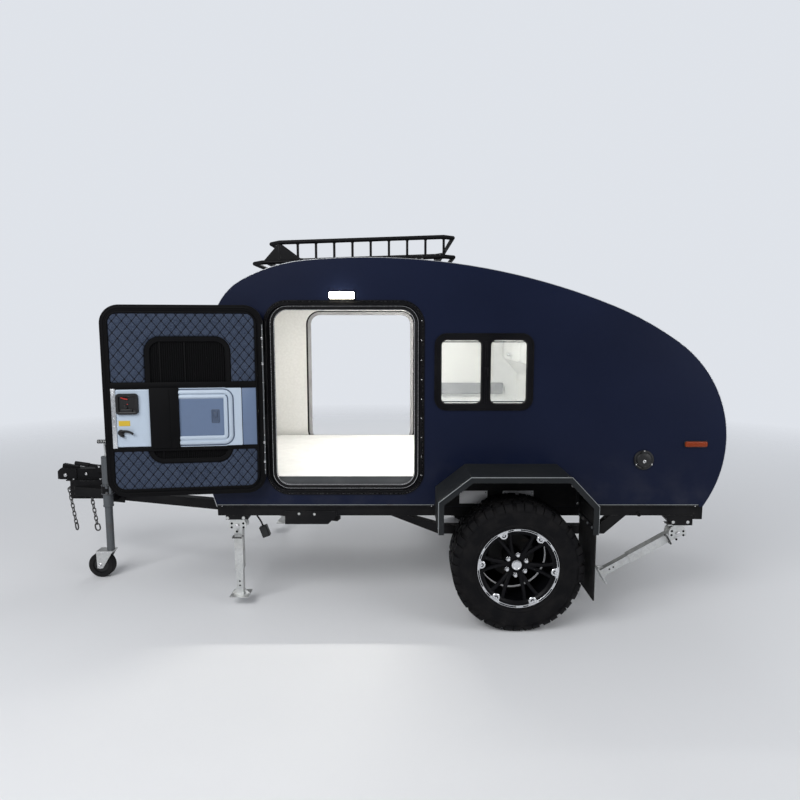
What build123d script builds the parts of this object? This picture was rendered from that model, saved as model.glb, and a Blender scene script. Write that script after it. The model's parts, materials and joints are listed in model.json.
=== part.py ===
"""Teardrop camping trailer with off-road wheels, built as separate pieces.

Millimetres. X runs along the trailer with the hitch towards -X, the side with the
power inlet is towards -Y and Z is up from the ground. All places along X are
measured from the wheel axle while modelling; the finished pieces are moved so that
the origin lies on the ground below the middle of the overall length.
"""
import os
from math import atan2, cos, degrees, hypot, radians, sin, tan

from build123d import *

# Body shell
body_width = 1500.0
body_base = 606.0
wall = 30.0
roof_skin = 30.0
edge_step = 6.0
nose_foot_x = -1688.0
nose_heading = 108.6
# Side outline from the foot of the nose, clockwise: name, radius, turn in degrees
outline_arcs = [
    ("nose", 1632.0, 40.5),
    ("brow", 319.0, 39.9),
    ("crown", 925.0, 23.0),
    ("roof", 3723.0, 23.5),
    ("hatch shoulder", 3723.0, 3.4),
    ("hatch back", 1847.0, 13.4),
    ("hatch tail", 689.0, 86.8),
]
edge_trim_thick = 2.5
sill_trim_height = 14.0
sill_trim_thick = 3.0

# Cabin
floor_thick = 40.0
floor_tail_x = 1052.0
bulkhead_x = 302.0
bulkhead_thick = 15.0
cabinet_depth = 102.0
cabinet_front_z = 1392.0
cabinet_drop = 120.0
mattress_thick = 134.0
mattress_gap = 20.0
mattress_nose_x = -1634.0
mattress_corner = 60.0
soft_gap = 0.3
counter_z = 1130.0
counter_thick = 28.0
counter_tail_x = 1070.0
galley_panel = 18.0
galley_setback = 90.0
galley_hatch_inset = 70.0
galley_hatch_foot = 60.0
galley_hatch_head = 50.0
galley_shelf_depth = 260.0
galley_shelf_rise = 330.0

# Doors
door_x = -946.0
door_z = 1233.0
door_clear_width = 790.0
door_clear_height = 1000.0
door_frame_reach_x = 56.0
door_frame_reach_z = 50.0
door_flange = 21.0
door_flange_thick = 6.0
door_corner = 75.0
door_web = 3.0
door_stop_thick = 12.0
door_gap = 5.0
door_thick = 28.0
door_open_angle = 172.0
hinge_radius = 6.0
hinge_knuckles = 5
hinge_gap = 0.15
hinge_strap = 40.0
hinge_strap_thick = 3.0
hinge_margin = 85.0
liner_thick = 12.0
liner_corner = 18.0
liner_clearance = 8.0

# Door furniture, measured from the hinge edge and the foot of the leaf
door_window_u = 385.0
door_window_v = 530.0
door_window_width = 468.0
door_window_height = 685.0
door_window_corner = 70.0
door_window_rim = 26.0
door_window_proud = 8.0
door_glass_thick = 5.0
liner_low_u = 42.0
liner_high_u = 808.0
liner_low_v = 40.0
liner_high_v = 1004.0
band_low_v = 268.0
band_high_v = 606.0
band_gap = 3.0
band_thick = 12.0
band_corner = 12.0
locker_low_u = 95.0
locker_high_u = 434.0
locker_inset = 9.0
locker_rim = 30.0
locker_rim_proud = 9.0
locker_pocket_corner = 24.0
cover_inset = 8.0
cover_proud = 6.0
lock_panel_low_u = 606.0
lock_box_width = 118.0
lock_box_height = 116.0
lock_box_depth = 14.0
lock_box_inset = 20.0
lock_box_corner = 12.0
lock_box_v = 507.0
handle_width = 84.0
handle_height = 30.0
handle_v = 340.0
handle_inset = 14.0

# Side windows
window_x = -160.0
window_z = 1386.0
window_width = 558.0
window_height = 435.0
window_corner = 68.0
window_border = 36.0
window_bar = 48.0
window_bar_x = 11.0
window_proud = 7.0
window_depth = 24.0
window_lap = 16.0
pane_corner = 34.0
pane_thick = 5.0

# Lamps and inlet
porch_lamp_length = 147.0
porch_lamp_height = 46.0
porch_lamp_shift = 9.0
porch_lamp_bevel = 8.0
porch_lamp_depth = 34.0
porch_lamp_above_door = 6.0
marker_x = 1056.0
marker_z = 974.0
marker_length = 134.0
marker_height = 38.0
marker_bevel = 5.0
marker_depth = 14.0
tail_lamp_inset = 160.0
tail_lamp_width = 170.0
tail_lamp_height = 52.0
tail_lamp_depth = 24.0
inlet_x = 762.0
inlet_z = 882.0
inlet_radius = 57.0
inlet_depth = 16.0

# Roof hatch
hatch_gap = 6.0
hatch_open_angle = 75.0
hatch_hinge_radius = 5.0
hatch_hinge_leaf = 32.0
hatch_hinge_leaf_thick = 2.0
hatch_handle_z = 700.0
hatch_handle_width = 160.0
hatch_handle_bar = 9.0
hatch_handle_standoff = 30.0

# Chassis
rail_inset = 10.0
rail_width = 50.0
rail_height = 55.0
rail_nose_x = -1688.0
rail_tail_x = 1071.0
rear_bar_depth = 50.0
rear_bar_drop = 22.0
cross_member_width = 40.0
cross_member_height = 40.0
cross_member_places = [-1668.0, -1150.0, -640.0, -110.0, 420.0, 860.0]
subframe_top = (-685.0, 677.0)
subframe_foot = (-409.0, 554.0)
subframe_drop = 109.0
subframe_tube = 50.0
subframe_top_run = 95.0
subframe_foot_run = 30.0

# Drawbar
drawbar_apex_x = -2905.0
drawbar_tail_x = -1000.0
drawbar_tail_inset = 138.0
drawbar_width = 50.0
drawbar_height = 62.0
drawbar_nose_half = 28.0
nose_box_length = 230.0
nose_box_half = 62.0
bracket_length = 300.0
bracket_drop = 50.0
bracket_thick = 6.0
nose_box_low = 461.0
nose_box_high = 585.0
nose_plate_thick = 7.0
nose_plate_lap = 28.0
neck_high = 665.0
neck_width = 70.0
neck_tail_x = -2690.0
hitch_nose_x = -3015.0
ball_radius = 25.4
cup_depth = 26.0
cup_z_low = 592.0
coupler_head_x = -2972.0
coupler_tail_x = -2868.0
coupler_nose_high = 636.0
coupler_high = 672.0
latch_width = 30.0
latch_rise = 24.0
latch_bolt_radius = 9.0
lever_pivot = (-2702.0, 684.0)
lever_tip = (-2868.0, 708.0)
lever_width = 12.0
lever_height = 20.0
lever_grip_length = 96.0
lever_grip_radius = 14.0
lever_foot = 50.0

# Safety chains, with the place of each anchor: x, y, z, length of its links
chain_table = [
    (-2937.0, -20.0, 524.0, 262.0),
    (-2752.0, -75.0, 452.0, 180.0),
]
chain_link_width = 26.0
chain_link_bar = 7.0
chain_link_gap = 28.0
chain_lap = 0.4
chain_shackle_width = 42.0
chain_shackle_gap = 40.0
chain_shackle_bar = 10.0
chain_lean = 8.0

# Plug lead under the cabin floor: diameter, gland, connector and the route downwards
lead_diameter = 10.0
lead_y = -630.0
lead_route = [(-1500.0, 584.0), (-1500.0, 549.0), (-1488.0, 514.0), (-1466.0, 485.0), (-1454.0, 452.0)]
gland_radius = 13.0
connector_width = 46.0
connector_length = 64.0
connector_corner = 9.0

# Nose jack
jack_x = -2538.0
jack_y = -290.0
jack_outer_radius = 30.0
jack_outer_top = 804.0
jack_outer_low = 474.0
jack_inner_radius = 24.0
jack_inner_low = 182.0
jack_travel = 280.0
jack_clearance = 0.6
jockey_radius = 83.0
jockey_width = 56.0
jockey_bevel = 9.0
jockey_dish = 9.0
jockey_dish_share = 0.6
jack_collar_radius = 38.0
jack_collar_height = 64.0
jack_collar_z = 590.0
jack_lever_length = 62.0
jack_lever_radius = 5.0
jack_arm_width = 44.0
jack_arm_height = 40.0
jack_arm_lap = 4.0
jack_head_room = 30.0
jack_pad_length = 120.0
jack_pad_height = 90.0
jack_pad_thick = 8.0
jockey_trail = 60.0
jockey_axle_radius = 8.0
swivel_radius = 12.0
swivel_length = 70.0
swivel_gap = 0.4
fork_gap = 6.0
fork_plate = 5.0
fork_top_thick = 7.0
fork_front = 22.0
fork_back = 26.0
fork_foot_half = 18.0
fork_pin_reach = 6.0
crank_top = 915.0
crank_lean = 8.0
crank_stem_radius = 9.0
crank_rod_radius = 6.0
crank_grip_radius = 12.0
crank_grip_nose = 40.0
crank_grip_tail = 46.0

# Running gear
wheel_gap = 50.0
tyre_radius = 355.0
tyre_width = 270.0
tyre_sides = 40
bead_inset = 13.0
bead_clearance = 1.0
tread_bevel = 24.0
sidewall_foot = 232.0
sidewall_bevel = 18.0
lug_pairs = 20
lug_gap = 16.0
lug_depth = 10.0
lug_reach = 55.0
rim_radius = 203.0
rim_flange_radius = 220.5
rim_wall = 6.0
rim_width = 232.0
rim_face_inset = 12.0
rim_hub_inset = 58.0
rim_hub_radius = 62.0
rim_ring_width = 14.0
rim_ring_thick = 10.0
rim_boss_radius = 22.0
rim_boss_height = 10.0
rim_boss_circle = 198.0
rim_turn = -6.0
spoke_pairs = 6
spoke_width = 20.0
spoke_splay = 11.0
spoke_thick = 26.0
hub_radius = 55.0
drum_radius = 128.0
drum_width = 66.0
drum_gap = 14.0
spindle_radius = 20.0
spindle_gap = 0.5
spindle_depth = 45.0
spindle_play = 3.0
axle_beam = 70.0
axle_beam_x = -155.0
arm_thick = 36.0
arm_width = 60.0
damper_radius = 24.0
damper_rod_radius = 9.0
damper_pin_radius = 16.0
damper_inset = 32.0
damper_foot = (-40.0, 372.0)
damper_head = (-110.0, 545.0)
damper_body_length = 110.0
damper_bracket = 40.0

# Mudguards
guard_overhang = 17.0
guard_plate = 4.0
guard_lip = 28.0
guard_foot_z = 552.0
guard_points = [(-430.0, 726.0), (-261.0, 859.0), (265.0, 859.0), (410.0, 704.0)]
flap_foot_z = 182.0
flap_thick = 7.0
flap_inset = 22.0
flap_lap = 120.0

# Corner legs
leg_inset = 55.0
leg_tube = 50.0
leg_inner_tube = 40.0
leg_outer_share = 0.62
leg_foot = 110.0
leg_foot_thick = 6.0
leg_pin_radius = 9.0
leg_pin_head = 4.0
leg_plate_lap = 6.0
leg_ear = 6.0
leg_ear_gap = 1.5
leg_ear_radius = 52.0
leg_plate_thick = 6.0
leg_hanger_depth = 90.0
leg_hanger_plate = 6.0
leg_handle_width = 60.0
leg_handle_bar = 8.0
leg_handle_drop = 66.0
leg_handle_reach = 26.0
leg_gusset = 34.0
leg_gusset_thick = 5.0
# Place along X, pivot height, reach to the sole, lean from vertical towards the nose,
# hanger foot height, hanger length and the hanger's slant at its nose end
leg_table = [
    ("front", -1581.0, 486.0, 431.0, 0.0, 526.0, 127.0, 0.0),
    ("rear", 990.0, 439.0, 507.0, 60.0, 492.0, 155.0, 42.0),
]

# Roof rack
rack_half_width = 480.0
rack_base_x = (-1509.0, -311.0)
rack_base_z = (2017.0, 2055.0)
rack_top_x = (-1405.0, -316.0)
rack_top_z = (2133.0, 2169.0)
rack_tube = 12.5
rack_bar_pitch = 100.0
rack_bar_width = 14.0
rack_bar_thick = 8.0
rack_slats = 7
rack_slat_width = 40.0
rack_slat_thick = 8.0
rack_corner = 58.0
rack_fairing_length = 250.0
rack_fairing_thick = 5.0
rack_foot_places = [-1290.0, -520.0]
rack_foot_length = 60.0
rack_foot_width = 44.0

# Worked out from the sizes above
far = 10 * body_width
half = body_width / 2
inner_half = half - wall
floor_top = body_base + floor_thick
door_leaf_width = door_clear_width + 2 * (door_frame_reach_x - door_flange - door_gap)
door_leaf_height = door_clear_height + 2 * (door_frame_reach_z - door_flange - door_gap)
door_leaf_x = door_x - door_leaf_width / 2
door_leaf_z = door_z - door_leaf_height / 2
door_inner_y = -(inner_half + door_stop_thick + door_gap)
door_outer_y = door_inner_y - door_thick
hinge_x = door_leaf_x - door_gap - hinge_radius
hinge_y = door_outer_y - hinge_radius - 1
rail_low = body_base - rail_height
rail_outer_y = half - rail_inset
rail_inner_y = rail_outer_y - rail_width
axle_beam_half = rail_inner_y
drawbar_tail_y = half - drawbar_tail_inset
tail_lamp_y = half - tail_lamp_inset
leg_y = half - leg_inset
wheel_y = half + wheel_gap + tyre_width / 2
guard_outer_y = wheel_y + tyre_width / 2 + guard_overhang
axle_z = tyre_radius


def direction(angle):
    """Unit vector in the side view at an angle in degrees."""
    return Vector(cos(radians(angle)), sin(radians(angle)))


def prism(sketch, y_low, y_high):
    """Side-view sketch given thickness between two places across the trailer."""
    return extrude(Plane.XZ.offset(-y_high) * sketch, amount=y_high - y_low)


def block(x_low, x_high, y_low, y_high, z_low, z_high):
    """Box given by its limits."""
    middle = Pos((x_low + x_high) / 2, (y_low + y_high) / 2, (z_low + z_high) / 2)
    return middle * Box(x_high - x_low, y_high - y_low, z_high - z_low)


def rod(start, end, radius):
    """Round bar between two points."""
    line = Vector(end) - Vector(start)
    align = (Align.CENTER, Align.CENTER, Align.MIN)
    return Plane(origin=start, z_dir=line) * Cylinder(radius, line.length, align=align)


def beam(start, end, width, height):
    """Bar of rectangular section between two points, width kept level."""
    line = Vector(end) - Vector(start)
    across = Vector(0, 0, 1).cross(line)
    align = (Align.CENTER, Align.CENTER, Align.MIN)
    frame = Plane(origin=start, x_dir=across, z_dir=line)
    return frame * Box(width, height, line.length, align=align)


def disc_y(x, y_low, y_high, z, radius):
    """Round disc or pin whose axis runs across the trailer."""
    return rod((x, y_low, z), (x, y_high, z), radius)


def both_sides(shape):
    """The piece and its mirror image on the other side."""
    return [shape, mirror(shape, about=Plane.XZ)]


def rounded(x, z, width, height, radius):
    """Rounded rectangle in the side view."""
    return Pos(x, z) * RectangleRounded(width, height, radius)


def outline_walk():
    """Corner places and headings along the side outline, with the arcs between."""
    heading = nose_heading
    point = Vector(nose_foot_x, body_base)
    stations = {}
    arcs = []
    for name, radius, turn in outline_arcs:
        stations[name] = (point, heading)
        arc = JernArc(point, direction(heading), radius, -turn)
        arcs.append(arc)
        point = arc @ 1
        heading -= turn
    stations["tail"] = (point, heading)
    return stations, arcs


stations, arcs = outline_walk()


def deep_outline(inset):
    """Side outline carried on below the floor line and moved inwards."""
    run_on = 160.0
    start = Vector(nose_foot_x, body_base) - direction(nose_heading) * run_on
    tail, heading = stations["tail"]
    end = tail + direction(heading) * run_on
    edges = [Line(start, arcs[0] @ 0)] + arcs + [Line(tail, end), Line(end, start)]
    face = make_face(edges)
    return offset(face, amount=-inset) if inset else face


def above(z_low):
    """Everything in the side view above a height."""
    return Pos(0, z_low) * Rectangle(far, far, align=(Align.CENTER, Align.MIN))


def section(inset=0.0, z_low=body_base):
    """Side view of the shell, moved inwards and cut off level at the foot."""
    return deep_outline(inset) & above(z_low)


def hatch_zone(shift):
    """Side-view region behind the roof hinge line, moved back by a gap."""
    point, heading = stations["hatch shoulder"]
    point = point + direction(heading) * shift
    up = direction(heading + 90)
    high = point + up * far
    low = point - up * far
    corners = [high, low, low + Vector(far, 0), high + Vector(far, 0)]
    return make_face(Polyline(*corners, close=True))


def hatch_pivot():
    """Place of the roof hinge pin in the side view."""
    return stations["hatch shoulder"][0]


def make_side_wall():
    """Near side wall with its door and window cut out."""
    panel = section()
    frame_hole = door_web + door_gap
    panel -= rounded(door_x, door_z, door_leaf_width + 2 * frame_hole,
                     door_leaf_height + 2 * frame_hole, door_corner + door_frame_reach_x - door_flange)
    panel -= rounded(window_x, window_z, window_width - 2 * window_lap,
                     window_height - 2 * window_lap, window_corner - window_lap)
    return prism(panel, -half, -inner_half)


def make_edge_trim():
    """Metal strip over the edge of each side wall, from foot to foot."""
    strip = section(-edge_trim_thick) - section()
    return both_sides(prism(strip, -half, -inner_half))


def make_sill_trim():
    """Bright strip along the foot of each side wall, broken by the mudguard."""
    pieces = []
    guard_front = guard_points[0][0]
    guard_back = guard_points[-1][0]
    for x_low, x_high in ((nose_foot_x, guard_front), (guard_back, floor_tail_x + 40)):
        strip = block(x_low, x_high, -half - sill_trim_thick, -half, body_base, body_base + sill_trim_height)
        pieces += both_sides(strip)
    return pieces


def make_roof():
    """Front wall and roof in one curved skin, up to the hatch."""
    band = section(edge_step) - section(edge_step + roof_skin)
    return prism(band - hatch_zone(-hatch_gap / 2), -inner_half, inner_half)


def make_hatch():
    """Curved rear hatch between the side walls, with its pull handle."""
    band = section(edge_step) - section(edge_step + roof_skin)
    lid = prism(band & hatch_zone(hatch_gap / 2), -inner_half + hatch_gap, inner_half - hatch_gap)
    strip = section(edge_step) & (Pos(0, hatch_handle_z) * Rectangle(far, 1))
    skin_x = strip.bounding_box().max.X
    bar_x = skin_x + hatch_handle_standoff
    reach = hatch_handle_width / 2
    bar = rod((bar_x, -reach, hatch_handle_z), (bar_x, reach, hatch_handle_z), hatch_handle_bar)
    for y in (-reach + 2 * hatch_handle_bar, reach - 2 * hatch_handle_bar):
        bar += rod((skin_x - edge_step, y, hatch_handle_z), (bar_x, y, hatch_handle_z), hatch_handle_bar)
    return lid + bar


def make_hatch_hinge():
    """Long roof hinge: pin along the gap and a leaf on the roof."""
    point, heading = stations["hatch shoulder"]
    up = direction(heading + 90)
    back = direction(heading)
    skin = point - up * edge_step
    reach = hatch_hinge_leaf
    corners = [skin - back * reach, skin - back * hatch_gap / 2]
    corners += [point - up, point - back * hatch_hinge_radius]
    corners += [skin - back * reach + up * hatch_hinge_leaf_thick]
    leaf = make_face(Polyline(*corners, close=True))
    width = inner_half - 2 * hatch_gap
    pin = disc_y(point.X, -width, width, point.Y, hatch_hinge_radius)
    return pin + prism(leaf, -width, width)


def make_floor():
    """Cabin and galley floor between the side walls."""
    plan = section(edge_step + roof_skin) & (Pos(0, body_base) * Rectangle(
        far, floor_thick, align=(Align.CENTER, Align.MIN)))
    keep = Pos(floor_tail_x, 0) * Rectangle(far, far, align=(Align.MAX, Align.CENTER))
    return prism(plan & keep, -inner_half, inner_half)


def strip_x(x_low, x_high, z_low):
    """Side-view strip between two places along the trailer, from a height up."""
    return Pos(x_low, z_low) * Rectangle(x_high - x_low, far, align=(Align.MIN, Align.MIN))


def make_bulkhead():
    """Partition between the cabin and the galley."""
    plan = section(edge_step + roof_skin) & strip_x(bulkhead_x, bulkhead_x + bulkhead_thick, floor_top)
    return prism(plan, -inner_half, inner_half)


def make_upper_cabinet():
    """Overhead locker on the cabin side of the bulkhead, with a sloping foot."""
    front = bulkhead_x - cabinet_depth
    corners = [(front, cabinet_front_z), (front, far), (bulkhead_x, far)]
    corners += [(bulkhead_x, cabinet_front_z - cabinet_drop)]
    shape = make_face(Polyline(*corners, close=True))
    return prism(shape & section(edge_step + roof_skin), -inner_half, inner_half)


def make_galley():
    """Kitchen unit behind the bulkhead: worktop, divider, rear board and shelf."""
    x_low = bulkhead_x + bulkhead_thick
    x_back = counter_tail_x - galley_setback
    x_board = x_back - galley_panel
    under = counter_z - counter_thick
    unit = block(x_low, counter_tail_x, -inner_half, inner_half, under, counter_z)
    rear = block(x_board, x_back, -inner_half, inner_half, floor_top, under)
    rear -= block(x_board, x_back, -inner_half + galley_hatch_inset, -galley_panel * 2,
                  floor_top + galley_hatch_foot, under - galley_hatch_head)
    unit += rear
    unit += block(x_low, x_board, -galley_panel / 2, galley_panel / 2, floor_top, under)
    shelf_z = counter_z + galley_shelf_rise
    unit += block(x_low, x_low + galley_shelf_depth, -inner_half, inner_half, shelf_z, shelf_z + galley_panel)
    return unit


def make_mattress():
    """Foam mattress that fills the cabin floor."""
    length = bulkhead_x - mattress_gap - mattress_nose_x
    plan = Pos(mattress_nose_x + length / 2, 0) * RectangleRounded(
        length, 2 * (inner_half - mattress_gap), mattress_corner)
    return extrude(Pos(0, 0, floor_top + soft_gap) * plan, amount=mattress_thick)


def door_ring(margin_x, margin_z, radius):
    """Rounded rectangle around the clear door opening."""
    return rounded(door_x, door_z, door_clear_width + 2 * margin_x, door_clear_height + 2 * margin_z, radius)


def make_door_frame():
    """Frame round the near door opening: flange, web, stop and hinge knuckles."""
    reach_x = door_frame_reach_x - door_flange
    reach_z = door_frame_reach_z - door_flange
    clear = door_ring(0, 0, door_corner)
    rebate = door_ring(reach_x, reach_z, door_corner + reach_x - door_web)
    hole = door_ring(reach_x + door_web, reach_z + door_web, door_corner + reach_x)
    outer = door_ring(door_frame_reach_x, door_frame_reach_z, door_corner + door_frame_reach_x)
    frame = prism(outer - rebate, -half - door_flange_thick, -half)
    frame += prism(hole - rebate, -half, -inner_half)
    frame += prism(rebate - clear, -inner_half - door_stop_thick, -inner_half)
    for low, high in knuckle_spans(0):
        frame += disc_z(hinge_x, hinge_y, low, high, hinge_radius)
        frame += block(hinge_x - hinge_radius, hinge_x - 1, hinge_y, -half - door_flange_thick, low, high)
    return frame


def knuckle_spans(first):
    """Heights of every second hinge knuckle."""
    low = door_leaf_z + hinge_margin
    pitch = (door_leaf_height - 2 * hinge_margin) / hinge_knuckles
    spans = []
    for index in range(first, hinge_knuckles, 2):
        spans.append((low + index * pitch + hinge_gap, low + (index + 1) * pitch - hinge_gap))
    return spans


def disc_z(x, y, z_low, z_high, radius):
    """Upright round bar."""
    return rod((x, y, z_low), (x, y, z_high), radius)


def leaf_rect(u_low, u_high, v_low, v_high, radius=0.0):
    """Rectangle on the closed door, from the hinge edge and the foot of the leaf."""
    width = u_high - u_low
    height = v_high - v_low
    place = Pos(door_leaf_x + u_low + width / 2, door_leaf_z + v_low + height / 2)
    return place * (RectangleRounded(width, height, radius) if radius else Rectangle(width, height))


def door_window_shape(grow):
    """Outline of the door window, made larger by a margin."""
    reach_u = door_window_width / 2 + grow
    reach_v = door_window_height / 2 + grow
    return leaf_rect(door_window_u - reach_u, door_window_u + reach_u, door_window_v - reach_v,
                     door_window_v + reach_v, door_window_corner + grow)


def make_door_leaf():
    """Closed near door: board with its window hole and its hinge knuckles."""
    corner = door_corner + door_frame_reach_x - door_flange - door_gap - door_web
    leaf = leaf_rect(0, door_leaf_width, 0, door_leaf_height, corner) - door_window_shape(0)
    door = prism(leaf, door_outer_y, door_inner_y)
    for low, high in knuckle_spans(1):
        door += disc_z(hinge_x, hinge_y, low, high, hinge_radius)
        strap_y = door_outer_y - hinge_strap_thick
        door += block(hinge_x, door_leaf_x + hinge_strap, strap_y, door_outer_y, low, high)
    return door


def make_door_window():
    """Tinted door glass with its inner rim."""
    rim_y = door_inner_y + door_window_proud
    pane = door_window_shape(-door_window_rim / 2)
    rim = prism(door_window_shape(door_window_rim) - pane, door_inner_y, rim_y)
    web = prism(door_window_shape(0) - pane, door_outer_y, door_inner_y)
    glass_y = door_outer_y + door_thick / 2
    glass = prism(pane, glass_y, glass_y + door_glass_thick)
    return rim + web + glass


def make_door_liner():
    """Quilted pads above and below the door's middle band."""
    hole = door_window_shape(door_window_rim + soft_gap)
    clear = door_ring(-liner_clearance, -liner_clearance, door_corner - liner_clearance)
    y_low = door_inner_y + soft_gap
    pads = []
    for v_low, v_high in ((liner_low_v, band_low_v - band_gap), (band_high_v + band_gap, liner_high_v)):
        pad = leaf_rect(liner_low_u, liner_high_u, v_low, v_high, liner_corner) - hole
        pads.append(prism(pad & clear, y_low, y_low + liner_thick))
    return pads


def make_door_band():
    """Moulded middle band: lock panel, sliding cover and locker with its stepped rim."""
    y_low = door_inner_y
    face_y = y_low + band_thick
    fit_y = y_low + door_window_proud + soft_gap
    band = prism(leaf_rect(liner_low_u, liner_high_u, band_low_v, band_high_v, band_corner), y_low, face_y)
    band -= prism(door_window_shape(door_window_rim + soft_gap), y_low, fit_y)
    low_v = band_low_v + locker_inset
    high_v = band_high_v - locker_inset
    rim = leaf_rect(locker_low_u, locker_high_u, low_v, high_v, band_corner)
    pocket = leaf_rect(locker_low_u + locker_rim, locker_high_u + locker_rim, low_v + locker_rim,
                       high_v - locker_rim, locker_pocket_corner)
    band += prism(rim - pocket, face_y, face_y + locker_rim_proud)
    cover = leaf_rect(locker_high_u, lock_panel_low_u, band_low_v + cover_inset, band_high_v - cover_inset)
    band += prism(cover, face_y, face_y + cover_proud)
    box_u = liner_high_u - lock_box_inset - lock_box_width
    lock_box = leaf_rect(box_u, box_u + lock_box_width, lock_box_v - lock_box_height / 2,
                         lock_box_v + lock_box_height / 2, lock_box_corner)
    band += prism(lock_box, face_y, face_y + lock_box_depth)
    grip_u = box_u + handle_inset
    grip = leaf_rect(grip_u, grip_u + handle_width, handle_v - handle_height / 2,
                     handle_v + handle_height / 2, handle_height / 3)
    return band + prism(grip, face_y, face_y + lock_box_depth)


def open_door(shape):
    """Swing a closed near door piece to where it rests open."""
    pin = Axis((hinge_x, hinge_y, 0), (0, 0, 1))
    return shape.rotate(pin, -door_open_angle)


def door_piece(make, side):
    """Door piece at its open place, on the near side (-1) or the far side (+1)."""
    made = make()
    shapes = made if isinstance(made, list) else [made]
    moved = [open_door(shape) for shape in shapes]
    if side > 0:
        moved = [mirror(shape, about=Plane.XZ) for shape in moved]
    return moved


def pane_shapes(shrink=0.0):
    """The two glass panes of a side window."""
    low_x = window_x - window_width / 2 + window_border
    high_x = window_x + window_width / 2 - window_border
    bar_x = window_x + window_bar_x
    height = window_height - 2 * window_border - 2 * shrink
    panes = []
    for x_low, x_high in ((low_x, bar_x - window_bar / 2), (bar_x + window_bar / 2, high_x)):
        width = x_high - x_low - 2 * shrink
        panes.append(rounded((x_low + x_high) / 2, window_z, width, height, pane_corner - shrink))
    return panes


def make_window_frame():
    """Side window frame with its middle bar."""
    left, right = pane_shapes()
    face = rounded(window_x, window_z, window_width, window_height, window_corner) - left - right
    plug = rounded(window_x, window_z, window_width - 2 * window_lap, window_height - 2 * window_lap,
                   window_corner - window_lap) - left - right
    return prism(face, -half - window_proud, -half) + prism(plug, -half, -half + window_depth)


def make_window_glass():
    """The two panes of the near side window."""
    return [prism(pane, -half, -half + pane_thick) for pane in pane_shapes()]


def make_porch_lamp():
    """Lamp over the near door."""
    low = door_z + door_clear_height / 2 + door_frame_reach_z + porch_lamp_above_door
    x_low = door_x - porch_lamp_shift - porch_lamp_length / 2
    lamp = block(x_low, x_low + porch_lamp_length, -half - porch_lamp_depth, -half,
                 low, low + porch_lamp_height)
    return chamfer(lamp.edges().group_by(Axis.Y)[0], porch_lamp_bevel)


def make_side_marker():
    """Small lens near the tail of the near wall."""
    lens = block(marker_x - marker_length / 2, marker_x + marker_length / 2, -half - marker_depth, -half,
                 marker_z - marker_height / 2, marker_z + marker_height / 2)
    return chamfer(lens.edges().group_by(Axis.Y)[0], marker_bevel)


def make_tail_lamp():
    """Lamp on the rear bar."""
    bar_back = rail_tail_x + rear_bar_depth
    low = rail_low + rail_height / 2 - tail_lamp_height / 2
    return block(bar_back, bar_back + tail_lamp_depth, -tail_lamp_y - tail_lamp_width / 2,
                 -tail_lamp_y + tail_lamp_width / 2, low, low + tail_lamp_height)


def make_power_inlet():
    """Round lidded inlet on the near wall."""
    flange = disc_y(inlet_x, -half - inlet_depth / 2, -half, inlet_z, inlet_radius)
    lid = disc_y(inlet_x, -half - inlet_depth, -half, inlet_z, inlet_radius * 0.72)
    return flange + lid


def make_rails():
    """The two main rails under the side walls."""
    rail = block(rail_nose_x, rail_tail_x, -rail_outer_y, -rail_inner_y, rail_low, body_base)
    return both_sides(rail)


def make_cross_members():
    """Cross members between the rails, and the deeper rear bar."""
    members = []
    for x in cross_member_places:
        low = body_base - cross_member_height
        if x == cross_member_places[0]:
            low = rail_low - bracket_thick
        members.append(block(x - cross_member_width / 2, x + cross_member_width / 2,
                             -rail_inner_y, rail_inner_y, low, body_base))
    members.append(block(rail_tail_x, rail_tail_x + rear_bar_depth, -rail_outer_y, rail_outer_y,
                         rail_low - rear_bar_drop, body_base))
    return members


def make_subframe():
    """Bent tube under each rail that carries the suspension."""
    low = rail_low - subframe_drop
    shelf = low + subframe_tube
    outer = [(subframe_top[0], rail_low), (subframe_top[1], rail_low),
             (subframe_foot[1], low), (subframe_foot[0], low)]
    inner = [(subframe_top[0] + subframe_top_run, rail_low), (subframe_top[1] - subframe_top_run, rail_low),
             (subframe_foot[1] - subframe_foot_run, shelf), (subframe_foot[0] + subframe_foot_run, shelf)]
    shape = make_face(Polyline(*outer, close=True)) - make_face(Polyline(*inner, close=True))
    return both_sides(prism(shape, -rail_outer_y, -rail_inner_y))


def make_drawbar():
    """Two drawbar members that spread from the nose and run under the rails."""
    middle = rail_low - bracket_thick - drawbar_height / 2
    member = beam((drawbar_apex_x, -drawbar_nose_half, middle), (drawbar_tail_x, -drawbar_tail_y, middle),
                  drawbar_width, drawbar_height)
    return both_sides(member - make_nose_box())


def make_drawbar_bracket():
    """Angle bracket that ties the tail of a drawbar member to the near rail."""
    x_low = drawbar_tail_x - bracket_length
    low = rail_low - bracket_drop
    high = rail_low + rail_height / 2
    corners = [(x_low, high), (drawbar_tail_x, high), (drawbar_tail_x, rail_low)]
    corners.append((drawbar_tail_x - bracket_drop, low))
    corners += [(x_low, low)]
    plate = prism(make_face(Polyline(*corners, close=True)), -rail_outer_y - bracket_thick, -rail_outer_y)
    cap_y = -drawbar_tail_y + drawbar_width / 2
    cap = block(x_low, drawbar_tail_x, -rail_outer_y - 1, cap_y, rail_low - bracket_thick, rail_low)
    return plate + cap


def make_nose_box():
    """Boxed gusset between the drawbar members."""
    return block(drawbar_apex_x, drawbar_apex_x + nose_box_length, -nose_box_half, nose_box_half,
                 nose_box_low, nose_box_high)


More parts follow.
